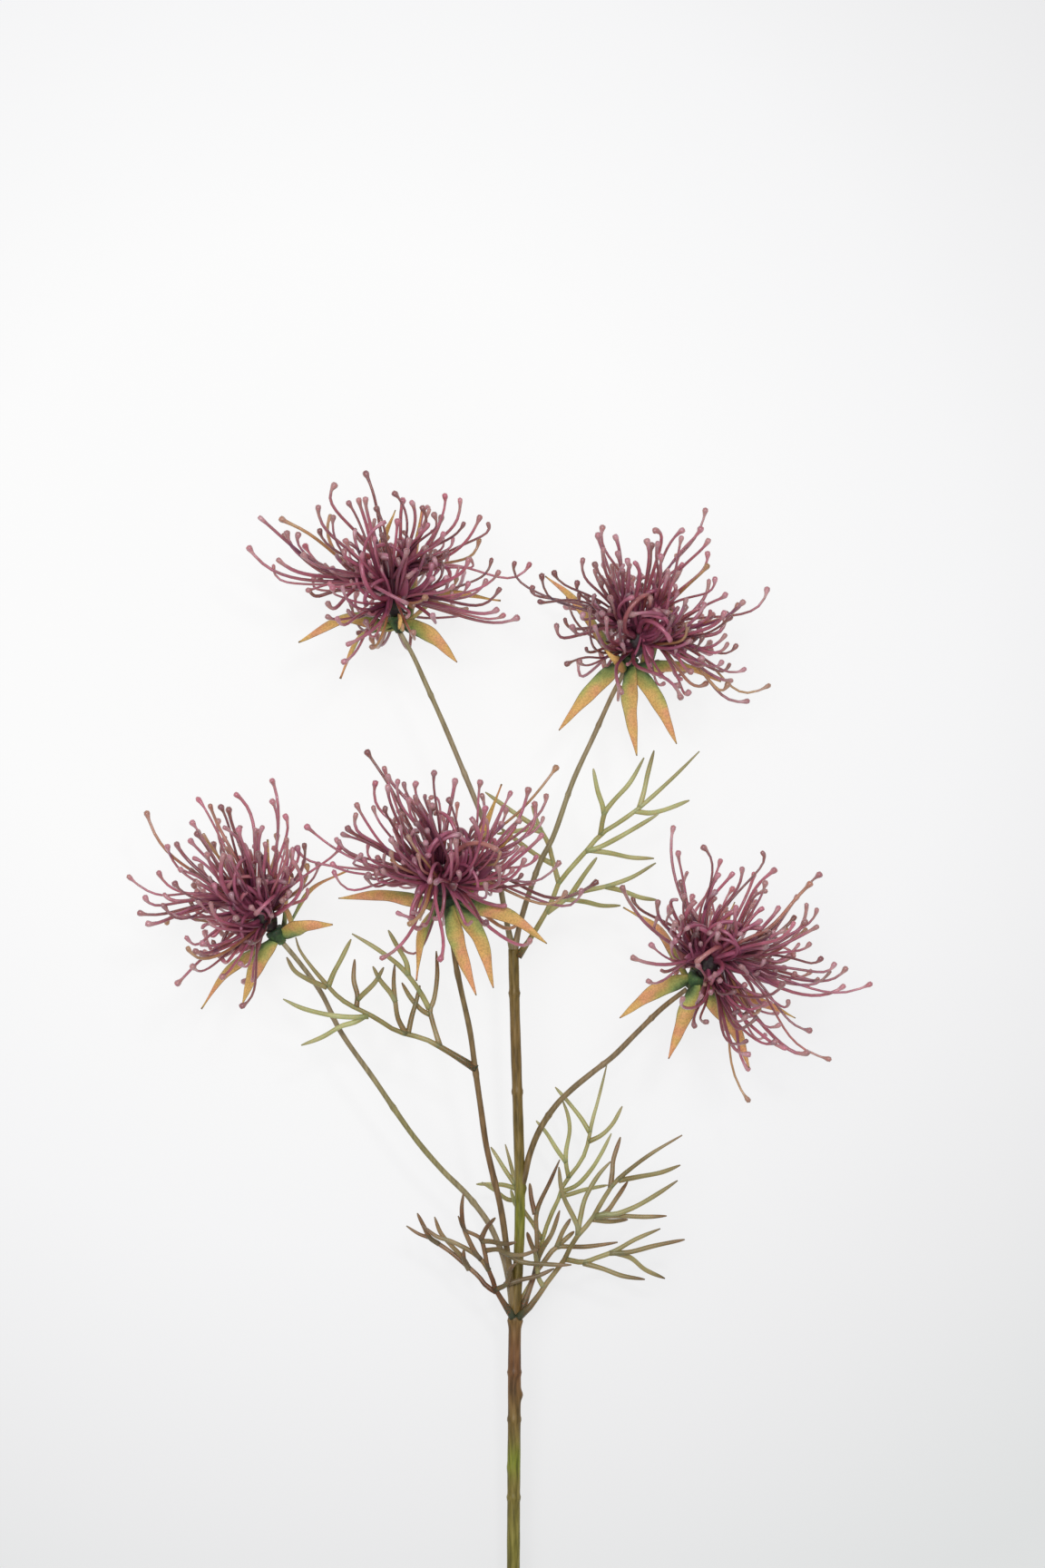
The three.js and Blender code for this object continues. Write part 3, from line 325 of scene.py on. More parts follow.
# Each head stands on its stalk and spreads from its core. A bract is the point that it passes, its tip,
# the tip's height above the cup, and how far its face turns up to the lens. A style is the place of its
# tip, and for some also the place of its bend. Styles that point to the dark side are the darkest.
HEADS = [
    {
        "core": [433, 656, 41], "dark_side": [0, 0],
        "bracts": [
            [[385, 680], [329, 708], 0, 0.55], [[476, 701], [504, 730], 7, 0.9],
            [[492, 657], [552, 662], -6, 0.3], [[397, 700], [375, 748], -4, 0.2],
            [[441, 683], [440, 694], 22, 0.5], [[458, 612], [465, 561], -9, 0.4],
            [[420, 610], [436, 562], -14, 0.6],
        ],
        "styles": [
            [273, 601, 312, 632], [285, 569, 312, 592], [305, 615], [308, 570], [330, 586], [333, 609],
            [351, 556], [352, 582], [371, 532, 371, 562], [368, 567], [383, 552], [395, 548],
            [402, 519, 413, 548], [403, 547], [433, 542], [444, 549], [453, 552], [464, 557], [477, 564],
            [490, 544], [507, 548], [530, 567], [537, 575], [512, 575], [489, 586], [493, 606], [517, 614],
            [551, 628], [585, 619, 547, 634], [517, 640], [552, 647], [550, 670], [573, 679, 534, 684],
            [476, 675], [455, 694], [408, 712], [381, 711], [377, 730, 397, 708], [360, 662], [359, 678],
            [371, 679], [366, 645], [380, 593], [465, 581], [449, 604], [316, 584],
        ],
    },
    {
        "core": [704, 702, 41], "dark_side": [-1, 0.3],
        "bracts": [
            [[652, 761], [616, 805], 4, 0.9], [[694, 775], [702, 833], 8, 1],
            [[723, 769], [746, 820], 5, 1], [[758, 737], [795, 751], -7, 0.5],
            [[632, 659], [601, 635], -15, 0.5], [[727, 662], [740, 636], 4, 0.6],
            [[677, 726], [667, 716], 20, 0.9],
        ],
        "styles": [
            [568, 618], [597, 631], [610, 628, 640, 649], [593, 662, 630, 657], [637, 639],
            [643, 614, 655, 642], [630, 688, 650, 694], [659, 587], [665, 578], [677, 589], [655, 619],
            [666, 603], [680, 607], [691, 615], [699, 619], [712, 593], [719, 585], [719, 597], [726, 596],
            [728, 610], [755, 583], [752, 590], [778, 559, 759, 602], [782, 593], [780, 607], [781, 621],
            [750, 630], [788, 635], [846, 646, 815, 675], [821, 661], [815, 664], [801, 653], [807, 678],
            [799, 673], [801, 698], [803, 707], [813, 709], [797, 727], [823, 736, 790, 732],
            [850, 754, 808, 755], [827, 772, 790, 757], [804, 751], [761, 761], [751, 771, 729, 745],
            [750, 755], [765, 741], [686, 765, 680, 740], [622, 733, 648, 724], [638, 727], [685, 708],
            [644, 674], [650, 668], [655, 689], [663, 673], [661, 704], [672, 656],
        ],
    },
    {
        "core": [288, 1006, 38], "dark_side": [0, 0],
        "bracts": [
            [[335, 1021], [367, 1019], 10, 0.8], [[283, 1063], [267, 1107], 4, 0.8],
            [[250, 1070], [222, 1112], -6, 0.44], [[345, 980], [384, 959], -5, 0.15],
            [[318, 972], [323, 944], -12, 0.25], [[298, 962], [295, 925], 8, 0.15],
        ],
        "styles": [
            [161, 893, 185, 938], [217, 880, 230, 898], [231, 886], [242, 887], [252, 890],
            [258, 874, 279, 905], [299, 858, 307, 900], [299, 881], [313, 897], [210, 904], [215, 916],
            [208, 924], [194, 928], [174, 959, 196, 981], [140, 964, 180, 985], [159, 986],
            [151, 1005, 190, 1004], [160, 1017], [191, 971], [180, 995], [198, 957], [221, 1038],
            [206, 1043], [213, 1047], [211, 1063], [193, 1086, 217, 1060], [263, 1060], [243, 1077],
            [264, 1110, 280, 1085], [178, 995, 205, 1012], [204, 1031, 224, 1030], [335, 929], [327, 931],
            [337, 951], [322, 948], [375, 932, 346, 956], [315, 923], [265, 928], [282, 913], [290, 910],
            [262, 911], [246, 911], [228, 940], [236, 972],
        ],
    },
    {
        "core": [488, 966, 57], "dark_side": [0, 0],
        "bracts": [
            [[424, 986], [373, 990], -4, 0.6], [[466, 1022], [459, 1081], -2, 0.4],
            [[504, 1038], [525, 1097], 7, 1], [[527, 1030], [544, 1089], 4, 1],
            [[562, 1010], [603, 1040], 3, 1], [[549, 937], [569, 912], 5, 0.6],
            [[536, 910], [553, 864], -10, 0.4],
        ],
        "styles": [
            [403, 826, 432, 868], [423, 844], [427, 853], [439, 858], [445, 861], [428, 864], [459, 861],
            [458, 875], [451, 878], [479, 849], [478, 886], [502, 858], [494, 879], [530, 859], [535, 888],
            [564, 871], [583, 867], [602, 874], [615, 843, 580, 886], [574, 904], [599, 918, 570, 943],
            [579, 933], [579, 945], [618, 948, 580, 969], [660, 970, 600, 983], [625, 981], [589, 971],
            [566, 957], [536, 1015], [585, 1034], [484, 1059, 487, 1025], [418, 1057, 452, 1022],
            [436, 1005, 462, 1009], [450, 1011], [450, 1019], [392, 884], [411, 887], [393, 895],
            [336, 909], [382, 910], [400, 940], [365, 950], [327, 931], [367, 958], [426, 888], [404, 961],
            [376, 918],
        ],
    },
    {
        "core": [785, 1057, 42], "dark_side": [-0.8, 0.3],
        "bracts": [
            [[723, 1092], [683, 1122], 5, 0.9], [[754, 1121], [737, 1167], 6, 0.9],
            [[810, 1134], [826, 1177], 5, 1], [[727, 1024], [687, 1000], -7, 0.4],
            [[846, 1108], [877, 1122], -6, 0.6], [[800, 1018], [810, 994], -15, 0.6],
        ],
        "styles": [
            [743, 909, 745, 960], [748, 937, 755, 968], [773, 932, 786, 962], [795, 946],
            [839, 938, 830, 965], [856, 957], [818, 955], [809, 961], [794, 962], [844, 970], [846, 982],
            [906, 962, 875, 993], [895, 972], [901, 1000], [889, 1014], [903, 1020], [876, 1015],
            [894, 1038], [907, 1054], [921, 1060], [934, 1065], [962, 1083, 905, 1090], [932, 1085],
            [869, 1101], [896, 1136, 865, 1118], [917, 1168, 870, 1140], [868, 1156, 838, 1135],
            [857, 1146], [828, 1162], [825, 1146], [827, 1215, 807, 1155], [824, 1118], [861, 1128],
            [781, 1126], [767, 1133], [754, 1099], [713, 1080, 740, 1069], [695, 1054, 740, 1061],
            [716, 1039, 738, 1056], [685, 975, 720, 1022], [726, 991], [742, 1001], [746, 1014],
            [755, 985], [760, 1008], [752, 1009], [791, 981], [812, 997], [864, 1081],
        ],
    },
]


def place(points):
    """The places in mm that are seen at rows of pixels right, pixels down and height: a pixel's offset from
    the lens's own pixel shrinks evenly as the height nears the lens."""
    right, down, height = np.moveaxis(np.asarray(points, float), -1, 0)
    scale = MM_PER_PIXEL * (LENS["height"] - height) / LENS["height"]
    x = (right - LENS["right"]) * scale + (LENS["right"] - MIDDLE["right"]) * MM_PER_PIXEL
    y = (LENS["down"] - down) * scale + (MIDDLE["down"] - LENS["down"]) * MM_PER_PIXEL
    return np.stack([x, y, height], axis=-1)


def chance(index, kind):
    """A number from 0 to 1 that looks random and is the same each time: the fraction of a large sine."""
    large = np.sin(np.asarray(index, float) * 12.9898 + kind * 78.233) * 43758.5453
    return large - np.floor(large)


def between(ends, seed, kind):
    """A column of numbers, one for each seed, by chance from one end of a range to the other."""
    return (ends[0] + (ends[1] - ends[0]) * chance(seed, kind))[:, None]


def wild(seed, kind):
    """Three numbers from -1 to 1 for each seed, as a vector."""
    return 2 * np.stack([chance(seed, kind + turn) for turn in range(3)], axis=-1) - 1


def length_of(vectors):
    """Each vector's length."""
    return np.linalg.norm(vectors, axis=-1, keepdims=True)


def unit(vectors):
    """Each vector over its length."""
    return vectors / np.maximum(length_of(vectors), 1e-9)


def dot(a, b):
    """The sum of the products of two vectors' numbers."""
    return np.sum(a * b, axis=-1, keepdims=True)


def bump(x, middle, half_width):
    """A smooth bump of height 1: e to the minus square of the distance in half widths."""
    return np.exp(-(((x - middle) / half_width) ** 2))


def swelling(form, x, middle):
    """A smooth bump of the form's height and length."""
    return form["height"] * bump(x, middle, form["length"])


def wave(form, x, start=0):
    """A wave of the form's height: the sine of an angle that grows with x from its start."""
    return form["height"] * np.sin(x * form["angle"] + start)


def full_turn(count):
    """Evenly spread angles of a full turn."""
    return np.linspace(0, 2 * math.pi, count, endpoint=False)


def run_along(points):
    """The length of a path up to each of its points: the sum of the steps before it."""
    return np.concatenate([[0], np.cumsum(length_of(np.diff(points, axis=0)))])


def smooth_line(points, shares):
    """A centripetal Catmull-Rom curve through points, at shares of its length. Each stretch is a cubic, and
    its end slopes weigh the neighbouring stretches by the square roots of their lengths."""
    p = np.vstack([2 * points[0] - points[1], points, 2 * points[-1] - points[-2]])
    gaps = np.sqrt(length_of(np.diff(p, axis=0)))
    before, own, after = gaps[:-2], gaps[1:-1], gaps[2:]
    p0, p1, p2, p3 = p[:-3], p[1:-2], p[2:-1], p[3:]
    leaving = ((p1 - p0) / before - (p2 - p0) / (before + own) + (p2 - p1) / own) * own
    arriving = ((p2 - p1) / own - (p3 - p1) / (own + after) + (p3 - p2) / after) * own
    t = np.linspace(0, 1, 24, endpoint=False)[None, :, None]
    fine = (
        (2 * t**3 - 3 * t**2 + 1) * p1[:, None] + (t**3 - 2 * t**2 + t) * leaving[:, None]
        + (3 * t**2 - 2 * t**3) * p2[:, None] + (t**3 - t**2) * arriving[:, None]
    )
    line = np.vstack([fine.reshape(-1, 3), points[-1]])
    run = run_along(line)
    return np.stack([np.interp(shares * run[-1], run, line[:, side]) for side in range(3)], axis=-1)


def bezier(root, first, second, tip, shares):
    """Cubic curves: the four points weighed by the cubic's shares."""
    t = shares[..., None]
    s = 1 - t
    weights = [s**3, 3 * s**2 * t, 3 * s * t**2, t**3]
    return sum(weight * point[:, None] for weight, point in zip(weights, (root, first, second, tip)))


def carried(lines, start):
    """Sides for lines that bend any way: each station's side is the last one's, made square to the line."""
    tangent = unit(np.gradient(lines, axis=1))
    sides = [start]
    for station in range(lines.shape[1]):
        here = tangent[:, station]
        sides.append(unit(sides[-1] - dot(sides[-1], here) * here))
    return np.stack(sides[1:], axis=1)


def round_section(radii, corners):
    """A circle's two distances, cosine and sine of the angle times the radius at each station."""
    angle = full_turn(corners)
    return radii[..., None] * np.cos(angle), radii[..., None] * np.sin(angle)


def rods(lines, face, section, marks, ends=None):
    """Closed rods, one along each line. A ring of corners lies square to the line at each station: the
    section's first distance is out along the side that face points to, and its second is across that. One
    point closes each end: the ring's middle, or the place that ends gives. lines is rods by stations by 3,
    and the distances and the marks are rods by stations by corners of a ring."""
    out, aside = section
    count, _, sides = out.shape
    tangent = unit(np.gradient(lines, axis=1))
    normal = unit(face - dot(face, tangent) * tangent)
    across = np.cross(tangent, normal)
    rings = lines[:, :, None] + normal[:, :, None] * out[..., None] + across[:, :, None] * aside[..., None]
    poles = rings[:, [0, -1]].mean(axis=2) if ends is None else ends
    corner = np.arange(out.size).reshape(out.shape)
    following = np.roll(corner, -1, axis=2)
    pole = np.broadcast_to((out.size + np.arange(2 * count).reshape(count, 2, 1)), (count, 2, sides))
    quads = np.stack([corner[:, :-1], following[:, :-1], following[:, 1:], corner[:, 1:]], axis=-1)
    fans = np.stack([
        np.stack([pole[:, 0], following[:, 0], corner[:, 0]], axis=-1),
        np.stack([pole[:, 1], corner[:, -1], following[:, -1]], axis=-1),
    ])
    spread = {}
    for name, values in marks.items():
        values = np.broadcast_to(values, out.shape)
        spread[name] = np.concatenate([values.ravel(), values[:, [0, -1]].mean(axis=2).ravel()])
    corners = np.vstack([rings.reshape(-1, 3), poles.reshape(-1, 3)])
    return {"corners": corners, "quads": quads.reshape(-1, 4), "fans": fans.reshape(-1, 3), "marks": spread}


def add_piece(name, node, shells, material):
    """One mesh of all the shells, in metres, flattened where it meets the table."""
    starts = np.cumsum([0] + [len(shell["corners"]) for shell in shells[:-1]])
    corners = np.vstack([shell["corners"] for shell in shells])
    corners[:, 2] = np.maximum(corners[:, 2], 0)
    quads = np.vstack([shell["quads"] + start for shell, start in zip(shells, starts)])
    fans = np.vstack([shell["fans"] + start for shell, start in zip(shells, starts)])
    mesh = bpy.data.meshes.new(name)
    mesh.from_pydata(corners * MM, [], quads.tolist() + fans.tolist())
    mesh.polygons.foreach_set("use_smooth", np.ones(len(mesh.polygons), bool))
    for mark in shells[0]["marks"]:
        values = np.concatenate([shell["marks"][mark] for shell in shells])
        mesh.attributes.new(mark, "FLOAT", "POINT").data.foreach_set("value", values.astype(np.float32))
    mesh.materials.append(material)
    piece = bpy.data.objects.new(name, mesh)
    bpy.context.scene.collection.objects.link(piece)
    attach(piece, "root")
    if node:
        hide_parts(node)


def linear(hex_colour):
    """An sRGB hex colour as linear RGBA: each share plus 0.055, over 1.055, to the power 2.4, or a dark
    share over 12.92."""
    shares = np.array([int(hex_colour[i : i + 2], 16) / 255 for i in (1, 3, 5)])
    bright = ((shares + 0.055) / 1.055) ** 2.4
    return (*np.where(shares > 0.04045, bright, shares / 12.92), 1)


def add(tree, kind, inputs=None, stops=None, **settings):
    """Adds a node with its settings. Each input takes a value, a node, which gives its first output, or an
    output, and stops are the places and colours of a ramp."""
    node = tree.nodes.new("ShaderNode" + kind)
    for name, value in settings.items():
        setattr(node, name, value)
    for key, value in (inputs or {}).items():
        source = value.outputs[0] if isinstance(value, bpy.types.Node) else value
        if isinstance(source, bpy.types.NodeSocket):
            tree.links.new(source, node.inputs[key])
        else:
            node.inputs[key].default_value = source
    if stops:
        elements = node.color_ramp.elements
        while len(elements) < len(stops):
            elements.new(0.5)
        for element, (position, colour) in zip(elements, stops):
            element.position, element.color = position, linear(colour)
    return node


def new_material(name, marks=()):
    """An empty material, its nodes, and an output for each mark that its meshes carry."""
    material = bpy.data.materials.new(name)
    material.use_nodes = True
    tree = material.node_tree
    tree.nodes.clear()
    carried_marks = [add(tree, "Attribute", attribute_name=mark).outputs["Fac"] for mark in marks]
    return material, tree, carried_marks


def finish_material(tree, colour, layers, roughness, height=None, depth=0.1, **numbers):
    """A principled surface: the colour with layers over it, each with its share, its own colour and how it
    blends, and then the roughness, and a bump whose depth is in mm."""
    for share, over, blend in layers:
        mix = add(tree, "Mix", {0: share, 6: colour, 7: over}, data_type="RGBA", blend_type=blend)
        colour = mix.outputs[2]
    inputs = {"Base Color": colour, "Roughness": roughness, **numbers}
    if height is not None:
        bumps = {"Strength": 1.0, "Distance": depth * MM, "Height": height}
        inputs["Normal"] = add(tree, "Bump", bumps)
    add(tree, "OutputMaterial", {"Surface": add(tree, "BsdfPrincipled", inputs)})


def patches(tree, size, detail=3, stretch=(1, 1, 1)):
    """Soft noise in object coordinates, whose patches are about size mm, or more along a stretched side."""
    position = add(tree, "TexCoord").outputs["Object"]
    mapped = add(tree, "Mapping", {"Vector": position, "Scale": [1 / side for side in stretch]})
    return add(tree, "TexNoise", {"Vector": mapped, "Scale": 1 / (size * MM), "Detail": detail})


def woody_bark():
    """Thin green-brown bark of a young shoot: satin, finely streaked along the stem, with paler, greener and
    redder stretches, and pale wood where it is cut."""
    shades = {
        "brown": ["#57481f", "#776431", "#8f7a47"],
        "pale": ["#998a6f", "#a8987e", "#b6a78e"],
        "green": ["#5c6815", "#7e8c26", "#9fa842"],
        "red": ["#4c2d18", "#6f4529", "#855939"],
        "cut": ["#c8b98c", "#c8b98c", "#c8b98c"],
    }
    material, tree, marks = new_material("Young woody bark, satin", list(shades)[1:])
    streaks = patches(tree, 1.2, stretch=(1, 9, 1))
    browns, *others = [
        add(tree, "ValToRGB", {"Fac": streaks}, list(zip((0.3, 0.5, 0.72), trio)))
        for trio in shades.values()
    ]
    layers = [(mark, other, "MIX") for mark, other in zip(marks, others)]
    finish_material(tree, browns, layers, 0.42, streaks, depth=0.12, IOR=1.45)
    return material


def leaf_flesh():
    """Waxy olive leaf tissue: satin, a little light passing through, browner on old leaves and at tips, paler
    along fresh lobes, and dark green where the leaf joins its stem."""
    material, tree, marks = new_material("Waxy leaf tissue, satin", ["outward", "brown", "joint"])
    outward, brown, joint = marks
    mottle = patches(tree, 11, 1)
    greens = add(tree, "ValToRGB", {"Fac": mottle}, [
        (0.3, "#74783a"), (0.5, "#95995a"), (0.7, "#b3b67c"),
    ])
    browns = add(tree, "ValToRGB", {"Fac": mottle}, [
        (0.3, "#4f3d2b"), (0.5, "#705b45"), (0.7, "#8a7359"),
    ])
    paler = add(tree, "Math", {0: outward, 1: 0.45}, operation="MULTIPLY")
    layers = [
        (paler, linear("#c3c195"), "MIX"), (brown, browns, "MIX"), (joint, linear("#34412c"), "MIX"),
    ]
    skin = {"IOR": 1.46, "Subsurface Weight": 0.1}
    finish_material(tree, greens, layers, 0.34, patches(tree, 1.5, 1), depth=0.03, **skin)
    return material


def bract_blade():
    """Leathery bract: matt, fine grained, dark green at its root, olive and then ochre, greener along one
    side, with rosy patches and a thin dark rim."""
    material, tree, marks = new_material("Leathery bract, fine grained", ["along", "side", "rim"])
    along, side, edge = marks
    wander = add(tree, "Math", {0: patches(tree, 7), 1: 0.5, 2: -0.25}, operation="MULTIPLY_ADD")
    along = add(tree, "Math", {0: along, 1: wander}, operation="ADD")
    sided = add(tree, "Math", {0: side, 1: 0.2, 2: along}, operation="MULTIPLY_ADD")
    ochres = add(tree, "ValToRGB", {"Fac": sided}, [
        (0.0, "#2a3f29"), (0.07, "#4a693c"), (0.17, "#879a56"), (0.34, "#b5ad5b"), (0.52, "#d5ab62"),
        (0.78, "#e2ae66"), (1.0, "#d2a860"),
    ])
    rosy = add(tree, "MapRange", {0: patches(tree, 8, 1), 1: 0.46, 2: 0.62, 4: 0.7})
    outer = add(tree, "MapRange", {0: sided, 1: 0.25, 2: 0.5})
    rosiness = add(tree, "Math", {0: rosy, 1: outer}, operation="MULTIPLY")
    grain = patches(tree, 0.6, 1)
    darker = add(tree, "MapRange", {0: grain, 1: 0.36, 2: 0.6, 3: 0.82, 4: 1.1})
    rim = add(tree, "MapRange", {0: edge, 1: 0.86, 2: 1.0, 4: 0.85})
    layers = [
        (rosiness, linear("#e39470"), "MIX"), (1.0, darker, "MULTIPLY"), (rim, linear("#5f482c"), "MIX"),
    ]
    skin = {"IOR": 1.45, "Subsurface Weight": 0.05}
    finish_material(tree, ochres, layers, 0.6, grain, depth=0.1, **skin)
    return material


def style_flesh():
    """Smooth waxy style: satin with small highlights, a little light passing through, dark plum at the core
    and dusty pink at the knob, with a few brown and a few nearly black ones."""
    material, tree, (along, tint) = new_material("Waxy flower style, satin", ["along", "tint"])
    plums = add(tree, "ValToRGB", {"Fac": along}, [
        (0.0, "#401a2b"), (0.12, "#682c43"), (0.4, "#803d56"), (0.7, "#925068"), (0.86, "#a26278"),
        (0.95, "#c898a2"), (1.0, "#b07482"),
    ])
    browns = add(tree, "ValToRGB", {"Fac": along}, [
        (0.0, "#4a2420"), (0.2, "#7c4632"), (0.5, "#9c6845"), (0.85, "#b08662"), (0.95, "#ba9272"),
        (1.0, "#94704e"),
    ])
    rosy = add(tree, "MapRange", {0: tint, 1: 0.35, 2: 0.85, 4: 0.7})
    brown = add(tree, "MapRange", {0: tint, 1: 0.9, 2: 0.97})
    at_knob = add(tree, "MapRange", {0: along, 1: 0.82, 2: 0.92})
    dull = add(tree, "MapRange", {0: patches(tree, 12, 1), 1: 0.45, 2: 0.58, 4: 0.65})
    dulled = add(tree, "Math", {0: at_knob, 1: dull}, operation="MULTIPLY")
    dark = add(tree, "MapRange", {0: tint, 1: 0.3, 2: 0.0, 4: 0.78})
    mottle = add(tree, "MapRange", {0: patches(tree, 4), 1: 0.3, 2: 0.7, 3: 0.79, 4: 1.24})
    layers = [
        (rosy, linear("#b95c77"), "MIX"), (brown, browns, "MIX"), (dulled, linear("#a17b78"), "MIX"),
        (dark, linear("#40242a"), "MIX"), (1.0, mottle, "MULTIPLY"),
    ]
    skin = {"IOR": 1.47, "Subsurface Weight": 0.15, "Coat Weight": 0.35, "Coat Roughness": 0.15}
    finish_material(tree, plums, layers, 0.3, **skin)
    return material


def core_flesh():
    """Dark, rough heart of the head, green in plum, where the styles leave it."""
    material, tree, _ = new_material("Dark flower heart")
    mottle = patches(tree, 1.6)
    plums = add(tree, "ValToRGB", {"Fac": mottle}, [
        (0.35, "#24141b"), (0.52, "#33252a"), (0.66, "#414a33"),
    ])
    finish_material(tree, plums, [], 0.5, mottle, depth=0.4, IOR=1.45)
    return material


def stem_shell():
    """The main stem: a round rod whose radius is a base width, narrowing by a smooth step, with a ring at
    each old leaf joint, slow waves, low ridges, and buds at its sides."""
    shares = np.concatenate([CUT_END["shares"], np.linspace(0, 1, 400)[1:]])
    line = smooth_line(place(MAIN_STEM), shares)[None]
    run = run_along(line[0])[None]
    narrowing = 1 / (1 + np.exp((STEM_RADIUS["narrows"] * run[0, -1] - run) / STEM_RADIUS["over"]))
    radius = STEM_RADIUS["lower"] + (STEM_RADIUS["upper"] - STEM_RADIUS["lower"]) * narrowing
    for ring in STEM_RINGS["shares"]:
        radius = radius + swelling(STEM_RINGS, run, ring * run[0, -1])
    for form in STEM_WAVES:
        radius = radius + wave(form, run)
    radius[0, 0] *= CUT_END["first"]
    down = MIDDLE["down"] - line[..., 1] / MM_PER_PIXEL
    angle = full_turn(20)
    ridged = 1 + STEM_RIDGES["height"] * np.cos(STEM_RIDGES["count"] * angle + STEM_RIDGES["angle"])
    for bud_down, bud_angle, height in STEM_BUDS:
        side = np.maximum(0, np.cos(angle - bud_angle)) ** 3
        ridged = ridged + height / STEM_RADIUS["lower"] * bump(down, bud_down, BUD_LENGTH)[..., None] * side
    marks = {"pale": 0 * run[..., None], "cut": (shares < CUT_END["shares"][2])[None, :, None]}
    for mark, (level, *stretches) in STEM_COLOURS.items():
        for strength, middle, length in stretches:
            level = level + strength * bump(down, middle, length)
        marks[mark] = np.clip(level, 0, 1)[..., None]
    return rods(line, UP, [ridged * part for part in round_section(radius, 20)], marks)


def stalk_shell():
    """The five stalks: round rods that taper evenly, with a flare where each leaves the stem, slow waves and
    small bumps. Their colours waver along them, and each is pale at its end."""
    shares = np.linspace(0, 1, 90)
    lines = np.stack([smooth_line(place(stalk), shares) for stalk in STALKS])
    run = np.linalg.norm(lines[:, -1] - lines[:, 0], axis=-1)[:, None] * shares
    which = np.arange(len(STALKS))
    looks = {name: np.array(values)[:, None] for name, values in STALK_LOOKS.items()}
    radius = looks["girth"] * (STALK_RADIUS["root"] - STALK_RADIUS["loss"] * shares)
    slow = {"height": STALK_WAVE["height"], "angle": between(STALK_WAVE["angle"], which, 1)}
    radius = radius + swelling(STALK_FLARE, run, 0) + wave(slow, run, between(ANY_ANGLE, which, 2))
    for share in STALK_BUMPS["shares"]:
        radius = radius + swelling(STALK_BUMPS, shares, share + between(STALK_BUMPS["further"], which, 3))
    marks = {"cut": np.zeros((1, 1, 1))}
    for kind, name in enumerate(("green", "red", "pale"), 4):
        level = looks[name] + wave(COLOUR_WAVE, run, between(ANY_ANGLE, which, kind))
        if name == "pale":
            level = level + swelling(PALE_END, shares, 1)
        marks[name] = np.clip(level, 0, 1)[..., None]
    return rods(lines, UP, round_section(radius, 12), marks)


def strand_points(strands, number, base):
    """A strand's places: its height runs evenly with its length, from its root, which takes the height of
    the nearest place on the strand that carries it, to its tip."""
    parent, rise, *route = strands[number]
    height = base
    if parent is not None:
        carrier = smooth_line(strand_points(strands, parent, base), np.linspace(0, 1, 61))
        apart = length_of(carrier - place([*route[0], base]))
        height = carrier[np.argmin(apart), 2]
    run = run_along(np.array(route, float))
    return place(np.column_stack([route, height + rise * run / run[-1]]))


def leaf_shell(girth, height, strands, look):
    """A leaf's strands: round rods that keep their thickness and come to a blunt point by a high power, with
    a slight flare at each root, and a thick dark joint where the leaf leaves its stem. Their stations crowd
    towards the tip."""
    shares = 1 - (1 - np.linspace(0, 1, 26)) ** 1.6
    places = [strand_points(strands, number, height) for number in range(len(strands))]
    lines = np.stack([smooth_line(points, shares) for points in places])
    run = np.linalg.norm(lines[:, -1] - lines[:, 0], axis=-1)[:, None] * shares
    taper = LOBE_TAPER["root"] - LOBE_TAPER["loss"] * shares - LOBE_TAPER["point"] * shares**10
    which = np.arange(len(strands))
    midrib = which[:, None] == 0
    joint = np.where(midrib, bump(run, 0, look["joint"]), 0)
    radius = LOBE_GIRTH_SHARE * girth * (taper + swelling(LOBE_FLARE, run, 0) + JOINT_HEIGHT * joint)
    radius = radius * (1 + wave(LOBE_WAVE, run, between(ANY_ANGLE, which, 7)))
    age = np.atleast_1d(look["age"])[:, None] + look["mixture"] * between((-0.5, 0.5), which, 8)
    old_root = np.where(midrib, swelling(BROWN_ROOT, run, 0), 0)
    marks = {
        "brown": np.clip(age + BROWN_TIP * shares**6 + old_root, 0, 1)[..., None],
        "outward": np.where(midrib, shares, 0.5 + 0.5 * shares)[..., None],
        "joint": (0.9 * joint)[..., None],
    }
    return rods(lines, UP, round_section(radius, 10), marks)


def head_places(index):
    """A head's core, its axis away from the stalk's end, and its cup under the core."""
    core = place(HEADS[index]["core"])
    axis = unit(core - place(STALKS[index][-1]))
    return core, axis, core - axis * CUP_BELOW_CORE


def bract_half_width(share):
    """Half the blade's width: it opens by a square to its widest place, and closes by a power to its tip."""
    at = BRACT_WIDTH["at"]
    opening = 1 - BRACT_WIDTH["root_loss"] * np.maximum(0, 1 - share / at) ** 2
    closing = 1 - np.maximum(0, (share - at) / (1 - at)) ** 1.4
    return BRACT_WIDTH["widest"] / 2 * opening * closing + BRACT_WIDTH["tip"] / 2


